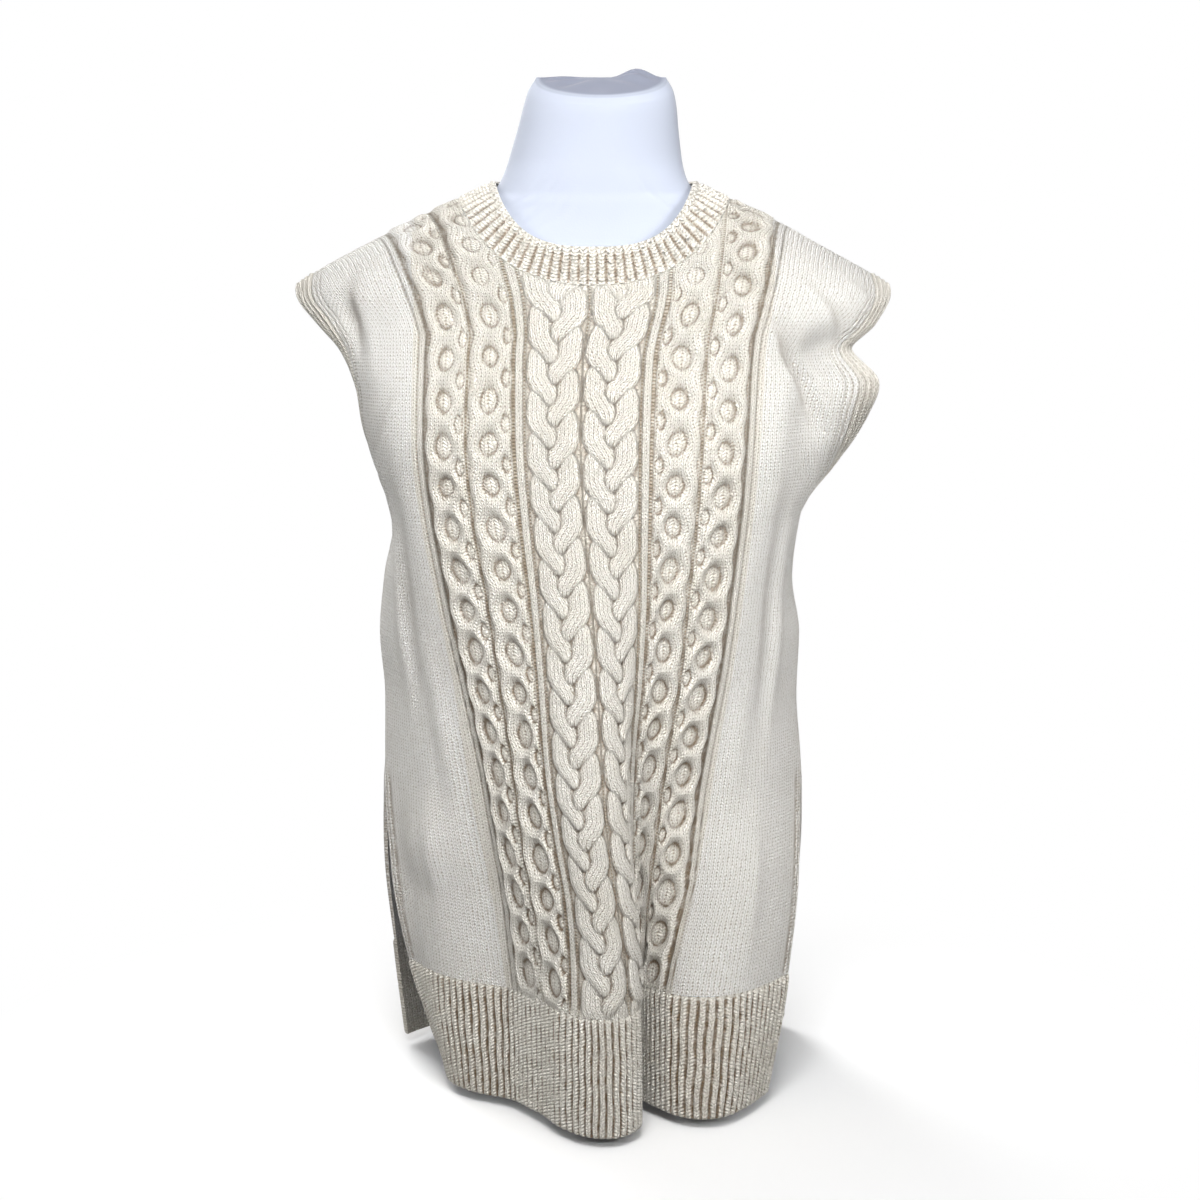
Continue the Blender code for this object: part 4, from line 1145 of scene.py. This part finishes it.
def build_form():
    """The limbless form in a smooth jersey cover, with soft pulls in the jersey below the neck."""
    low = np.linspace(0.0, 0.74, 120)
    high = np.linspace(0.74, TOP_Z, 100)[1:]
    z = np.concatenate([low, high])[:, None]
    a = np.linspace(0.0, 2.0 * math.pi, 161)[None, :-1]
    half = read(FORM, "half", z)
    front = read(FORM, "front", z)
    back = read(FORM, "back", z)
    flow = 0.25 * hump((z - 0.790) / 0.022) - 0.15 * hump((z - 0.762) / 0.020)
    power = 2.0 / (read(FORM, "power", z) + flow * (np.sin(a) < 0.0))
    across = np.sign(np.cos(a)) * np.abs(np.cos(a)) ** power
    deep = np.sign(np.sin(a)) * np.abs(np.sin(a)) ** power
    pulls = np.zeros(np.shape(across))
    for place, width, lean, start, end, depth in PULLS:
        line = a - math.radians(place) - lean * (z - start)
        along = hump((z - (start + end) / 2.0) / ((end - start) / 2.0))
        pulls += depth * along * hump(line / math.radians(width))
    x = (half - pulls) * across + NECK_LEAN * soft_step(z, 0.785, TOP_Z)
    y = (front + back) / 2.0 + ((back - front) / 2.0 - pulls) * deep
    slope = TOP_SLOPE * np.clip(-deep, 0.0, 1.0) ** 0.9
    z = z - slope * soft_step(z, TOP_Z - 0.040, TOP_Z)
    points = np.stack([x, y, z], -1)
    rings, middle = crown(points[-1], slope[-1], a[0])
    points = np.concatenate([points, rings])
    rows, columns = points.shape[:2]
    vertices = np.concatenate([points.reshape(-1, 3), [middle]]) + SHIFT
    ids = np.arange(rows * columns).reshape(rows, columns)
    ahead = np.roll(ids, -1, axis=1)
    faces = np.stack([ids[:-1], ahead[:-1], ahead[1:], ids[1:]], -1).reshape(-1, 4).tolist()
    faces += [(i, j, rows * columns) for i, j in zip(ids[-1].tolist(), ahead[-1].tolist())]
    faces.append(ids[0, ::-1].tolist())
    mesh = bpy.data.meshes.new("form_jersey")
    mesh.from_pydata(vertices.tolist(), [], faces)
    mesh.shade_smooth()
    mesh.set_sharp_from_angle(angle=math.radians(60.0))
    # painted shade on the neck's top, and a little on the two rows below its edge
    neck_top_shade = np.zeros(len(vertices), dtype=np.float32)
    neck_top_shade[(rows - len(rings) - 2) * columns:] = 0.35
    neck_top_shade[(rows - len(rings)) * columns:] = 1.0
    mesh.attributes.new("shade", "FLOAT", "POINT").data.foreach_set("value", neck_top_shade)
    item = bpy.data.objects.new("form_jersey", mesh)
    bpy.context.scene.collection.objects.link(item)
    return item


# ------------------------------------------------------------------ materials
def node(tree, kind, inputs=None, **settings):
    """A node with its settings, and numbers or links for its inputs by name or number."""
    made = tree.nodes.new(kind)
    for key, value in settings.items():
        setattr(made, key, value)
    for key, value in (inputs or {}).items():
        if isinstance(value, bpy.types.NodeSocket):
            tree.links.new(value, made.inputs[key])
        else:
            made.inputs[key].default_value = value
    return made


def maths(tree, operation, a, b=0.0, c=0.0, clamp=False):
    """The result of one sum."""
    return node(tree, "ShaderNodeMath", {0: a, 1: b, 2: c}, operation=operation, use_clamp=clamp).outputs[0]


def mix(tree, factor, a, b):
    """One colour mixed into another."""
    return node(tree, "ShaderNodeMix", {0: factor, 6: a, 7: b}, data_type="RGBA").outputs[2]


def choose(tree, factor, a, b):
    """One number mixed into another."""
    return node(tree, "ShaderNodeMix", {0: factor, 2: a, 3: b}, data_type="FLOAT").outputs[0]


def noise(tree, place, scale, detail=2.0, **more):
    """The value of a noise texture at a place."""
    inputs = {"Vector": place, "Scale": scale, "Detail": detail, **more}
    return node(tree, "ShaderNodeTexNoise", inputs).outputs[0]


def carried(tree, name):
    """A number that the mesh carries at its points."""
    return node(tree, "ShaderNodeAttribute", attribute_name=name).outputs["Fac"]


def finish_cloth(tree, tone, relief, settings):
    """Join colour, relief and settings to the material's shader."""
    shader = tree.nodes["Principled BSDF"]
    tree.links.new(node(tree, "ShaderNodeBump", relief).outputs[0], shader.inputs["Normal"])
    tree.links.new(tone, shader.inputs["Base Color"])
    for key, value in settings.items():
        shader.inputs[key].default_value = value


YARN = ((0.850, 0.815, 0.735, 1.0), (0.930, 0.905, 0.850, 1.0))         # darkest and palest
# a paler, cooler copy of the same yarn for the plain sides and the back: painted light
PLAIN_LIT_YARN = ((0.908, 0.896, 0.862, 1.0), (0.972, 0.968, 0.950, 1.0))
# a darker copy of the yarn for the hems: painted shade for the weaker light low down
RIB_SHADED_YARN = ((0.770, 0.735, 0.660, 1.0), (0.880, 0.855, 0.795, 1.0))
FLECK = (0.440, 0.375, 0.285, 1.0)
# painted shade in the gaps between stitches and between purl bars
STITCH_GAP_SHADE = (0.350, 0.290, 0.205, 1.0)
# brown of the painted shade in the crevices, the creases and low down
CREVICE_SHADE_TONE = (0.205, 0.145, 0.088, 1.0)
JERSEY = ((0.440, 0.475, 0.560, 1.0), (0.475, 0.510, 0.600, 1.0))
# painted shade for the neck's top
JERSEY_TOP_SHADE = (0.225, 0.240, 0.300, 1.0)


def knit_material(name, yarn):
    """Cream yarn in rows of stitches, or purl bars where purl is 1, with painted shade in the gaps between
    them and in the crevices.
    """
    material = bpy.data.materials.new(name)
    material.use_nodes = True
    tree = material.node_tree
    do = partial(maths, tree)
    place = node(tree, "ShaderNodeUVMap", uv_map="stitches").outputs[0]
    solid = node(tree, "ShaderNodeTexCoord").outputs["Object"]
    purl = carried(tree, "purl")
    counts = node(tree, "ShaderNodeSeparateXYZ", {0: place}).outputs
    wobble = do("MULTIPLY_ADD", noise(tree, solid, 260.0), 0.80, -0.40)
    u = do("ADD", counts[0], wobble)
    v = do("ADD", counts[1], wobble)

    # Knit stitches are legs that meet in a V, purl stitches are bars across.
    off = do("ABSOLUTE", do("SUBTRACT", do("FRACT", u), 0.5))
    leg = do("SINE", do("MULTIPLY", off, 2.0 * math.pi))
    leg = do("POWER", do("MAXIMUM", leg, 0.0), 0.5)
    row = do("SUBTRACT", v, do("MULTIPLY", off, 1.5))
    loop = do("POWER", do("ABSOLUTE", do("SINE", do("MULTIPLY", row, math.pi))), 0.6)
    bar = do("ABSOLUTE", do("SINE", do("MULTIPLY", v, math.pi)))
    arch = do("SINE", do("MULTIPLY", u, 2.0 * math.pi))
    bar = do("MULTIPLY_ADD", arch, 0.2, do("MULTIPLY", bar, 0.8))
    stitch = choose(tree, purl, do("MULTIPLY", leg, loop), bar)
    height = do("MULTIPLY_ADD", noise(tree, solid, 1400.0, 3.0), 0.35, stitch)

    # The yarn's own colour, with long flecks along it and small ones all over.
    cloud = do("MULTIPLY_ADD", noise(tree, solid, 22.0, 3.0), 1.6, -0.35, clamp=True)
    tone = mix(tree, cloud, yarn[0], yarn[1])
    streak = node(tree, "ShaderNodeMapping", {"Vector": place, "Scale": (0.35, 1.0, 1.0)}).outputs[0]
    fleck = noise(tree, streak, 0.9, 4.0, Roughness=0.7)
    speck = noise(tree, solid, 800.0, 3.0)
    for grain, start, steep, most in ((fleck, 0.56, 2.6, 0.6), (speck, 0.50, 2.4, 0.45)):
        grain = do("MULTIPLY", do("SUBTRACT", grain, start), steep, clamp=True)
        tone = mix(tree, do("MULTIPLY", grain, most), tone, FLECK)

    # Painted shade in the gaps between the stitches, and painted shade in the crevices.
    rows_gap = do("MULTIPLY_ADD", do("SUBTRACT", 1.0, loop), 1.2, 0.30)
    sides = do("MULTIPLY", do("SUBTRACT", off, 0.30), 5.0, clamp=True)
    middle = do("MULTIPLY", do("SUBTRACT", 0.14, off), 4.0, clamp=True)
    dot = do("MULTIPLY", do("MAXIMUM", sides, middle), rows_gap, clamp=True)
    purl_gap = do("MULTIPLY_ADD", do("SUBTRACT", 1.0, bar, clamp=True), 0.9, 0.25)
    tone = mix(tree, choose(tree, purl, dot, purl_gap), tone, STITCH_GAP_SHADE)
    # painted shade from the shade attribute, broken up by noise
    patchy = do("MULTIPLY_ADD", noise(tree, solid, 120.0), 2.0, -0.10, clamp=True)
    deep = do("POWER", carried(tree, "shade"), 1.2, clamp=True)
    tone = mix(tree, do("MULTIPLY", deep, patchy), tone, CREVICE_SHADE_TONE)
    finish_cloth(tree, tone, {"Strength": 0.9, "Distance": 0.0021, "Height": height}, {
        "Roughness": 0.92, "Specular IOR Level": 0.2, "Sheen Weight": 0.25, "Sheen Roughness": 0.5,
        "Sheen Tint": (1.0, 0.96, 0.88, 1.0)})
    return material


def jersey_material():
    """Plain bluish-white jersey, with painted shade on the neck's top."""
    material = bpy.data.materials.new("white_jersey")
    material.use_nodes = True
    tree = material.node_tree
    solid = node(tree, "ShaderNodeTexCoord").outputs["Object"]
    tone = mix(tree, noise(tree, solid, 9.0), JERSEY[0], JERSEY[1])
    # painted shade mixed onto the neck's top
    tone = mix(tree, carried(tree, "shade"), tone, JERSEY_TOP_SHADE)
    fine = noise(tree, solid, 900.0)
    finish_cloth(tree, tone, {"Strength": 0.25, "Distance": 0.0004, "Height": fine}, {
        "Roughness": 0.85, "Specular IOR Level": 0.25, "Sheen Weight": 0.15, "Sheen Roughness": 0.4})
    return material


# ------------------------------------------------------------------ stage
WHITE = (1.0, 1.0, 1.0, 1.0)
FLOOR_RADIUS = 3.0
FLOOR_FADE = (0.22, 0.60)       # where the floor begins and ends its fade into white
FLOOR_LIT = (0.40, 0.40, 0.40, 1.0)     # what the floor is to the light that it throws back
FLOOR_SEEN = (0.95, 0.95, 0.95, 1.0)    # what it is to the camera
WORLD_LIGHT = 0.28


def build_floor():
    """A pale floor that fades into a white background."""
    mesh = bpy.data.meshes.new("floor")
    turns = np.linspace(0.0, 2.0 * math.pi, 65)[:-1]
    ring = [(FLOOR_RADIUS * math.cos(a), FLOOR_RADIUS * math.sin(a), 0.0) for a in turns]
    mesh.from_pydata(ring, [], [tuple(range(len(ring)))])
    floor = bpy.data.objects.new("floor", mesh)
    bpy.context.scene.collection.objects.link(floor)
    material = bpy.data.materials.new("pale_floor")
    material.use_nodes = True
    tree = material.node_tree
    tree.nodes.clear()
    out = node(tree, "ShaderNodeOutputMaterial")
    seen = node(tree, "ShaderNodeLightPath").outputs["Is Camera Ray"]
    pale = mix(tree, seen, FLOOR_LIT, FLOOR_SEEN)
    matte = node(tree, "ShaderNodeBsdfDiffuse", {"Color": pale}).outputs[0]
    white = node(tree, "ShaderNodeEmission", {"Color": WHITE, "Strength": 1.0}).outputs[0]
    solid = node(tree, "ShaderNodeTexCoord").outputs["Object"]
    away = node(tree, "ShaderNodeVectorMath", {0: solid}, operation="LENGTH").outputs["Value"]
    far = node(tree, "ShaderNodeMapRange", {"Value": away, 1: FLOOR_FADE[0], 2: FLOOR_FADE[1]},
               interpolation_type="SMOOTHSTEP").outputs[0]
    share = maths(tree, "MULTIPLY", far, seen)
    both = node(tree, "ShaderNodeMixShader", {0: share, 1: matte, 2: white}).outputs[0]
    tree.links.new(both, out.inputs["Surface"])
    mesh.materials.append(material)


def build_world():
    """A background that is white to the eye and softer as a light."""
    world = bpy.data.worlds.new("studio")
    bpy.context.scene.world = world
    world.use_nodes = True
    tree = world.node_tree
    tree.nodes.clear()
    out = node(tree, "ShaderNodeOutputWorld")
    soft = node(tree, "ShaderNodeBackground", {"Color": WHITE, "Strength": WORLD_LIGHT}).outputs[0]
    white = node(tree, "ShaderNodeBackground", {"Color": WHITE, "Strength": 1.0}).outputs[0]
    path = node(tree, "ShaderNodeLightPath").outputs
    mirrored = maths(tree, "MAXIMUM", path["Is Glossy Ray"], path["Is Transmission Ray"])
    seen = maths(tree, "MAXIMUM", path["Is Camera Ray"], mirrored)
    both = node(tree, "ShaderNodeMixShader", {0: seen, 1: soft, 2: white}).outputs[0]
    tree.links.new(both, out.inputs["Surface"])


# Name, place, aim, size, power, and the angle in degrees that the light spreads over.
LAMPS = (
    ("top_front", (-0.04, -1.22, 1.78), (0.0, 0.0, 0.60), 0.7, 25.5, 180.0),
    ("fill_right", (1.05, -1.40, 1.50), (0.1, 0.0, 0.70), 0.8, 4.4, 180.0),
    ("chest_right", (0.9, -1.6, 1.05), (0.12, 0.0, 0.46), 0.4, 1.3, 40.0),
    ("chest_left", (-0.9, -1.7, 1.05), (-0.13, 0.0, 0.46), 0.4, 0.85, 40.0),
    ("back_soft", (-1.1, 1.8, 1.7), (0.0, 0.0, 0.5), 1.2, 46.0, 180.0),
)


def add_lamp(name, place, aim, size, power, spread):
    """A square soft lamp."""
    data = bpy.data.lights.new(name, "AREA")
    data.size = size
    data.energy = power
    data.spread = math.radians(spread)
    lamp = bpy.data.objects.new(name, data)
    bpy.context.scene.collection.objects.link(lamp)
    lamp.location = place
    way = Vector(aim) - Vector(place)
    lamp.rotation_euler = way.to_track_quat("-Z", "Y").to_euler()


CAMERA_PLACE = (0.005, -2.0, 0.729)
CAMERA_DIP = 8.5        # degrees below level
CAMERA_LENS = 68.94     # on a 36 mm sensor


def build_camera():
    """The camera, above the chest and tipped down a little."""
    data = bpy.data.cameras.new("camera")
    data.lens = CAMERA_LENS
    data.sensor_width = 36.0
    camera = bpy.data.objects.new("camera", data)
    bpy.context.scene.collection.objects.link(camera)
    camera.location = [a + b for a, b in zip(CAMERA_PLACE, SHIFT)]
    camera.rotation_euler = (math.radians(90.0 - CAMERA_DIP), 0.0, 0.0)
    bpy.context.scene.camera = camera


# ------------------------------------------------------------------ the whole scene
def dress(item, material, part, slot, flat, **more):
    """Give a knitted piece its material and body, in place of the solid part, which it hides. Its slot and
    flat cut are not used.
    """
    item.data.materials.append(material)
    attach(item, "root")
    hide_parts(part)


build_floor()
build_world()
build_camera()
for lamp in LAMPS:
    add_lamp(*lamp)
bpy.context.scene.view_settings.view_transform = "Standard"

yarn = knit_material("cable_knit_yarn", YARN)
plain_lit_yarn = knit_material("plain_knit_lit_yarn", PLAIN_LIT_YARN)
rib_shaded_yarn = knit_material("rib_knit_shaded_yarn", RIB_SHADED_YARN)
form = build_form()
form.data.materials.append(jersey_material())
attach(form, "root")
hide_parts("dress_form")

cables = (yarn, (0.138, 0.700))
sides = (plain_lit_yarn, (0.112, 0.630))
for item, (material, flat) in zip(build_front(), (cables, cables, sides, sides)):
    dress(item, material, "front_panel", "cable_knit", flat, area=item["flat_area"])
back = build_back()
dress(back, plain_lit_yarn, "back_panel", "cable_knit", (0.500, 0.700), area=back["flat_area"])
for side, panel in (("front", FRONT), ("back", BACK)):
    hem = build_hem(f"{side}_hem_ribbing", panel)
    dress(hem, rib_shaded_yarn, f"{side}_hem_rib", "rib_knit", (0.500, RIB), area=hem["flat_area"])
dress(build_neckband(), yarn, "neckband", "rib_knit", (0.560, NECKBAND))
for side, hand in (("left", -1.0), ("right", 1.0)):
    band = build_armhole_band(f"{side}_armhole_ribbing", hand)
    dress(band, yarn, f"{side}_armhole_band", "rib_knit", (0.450, BAND))
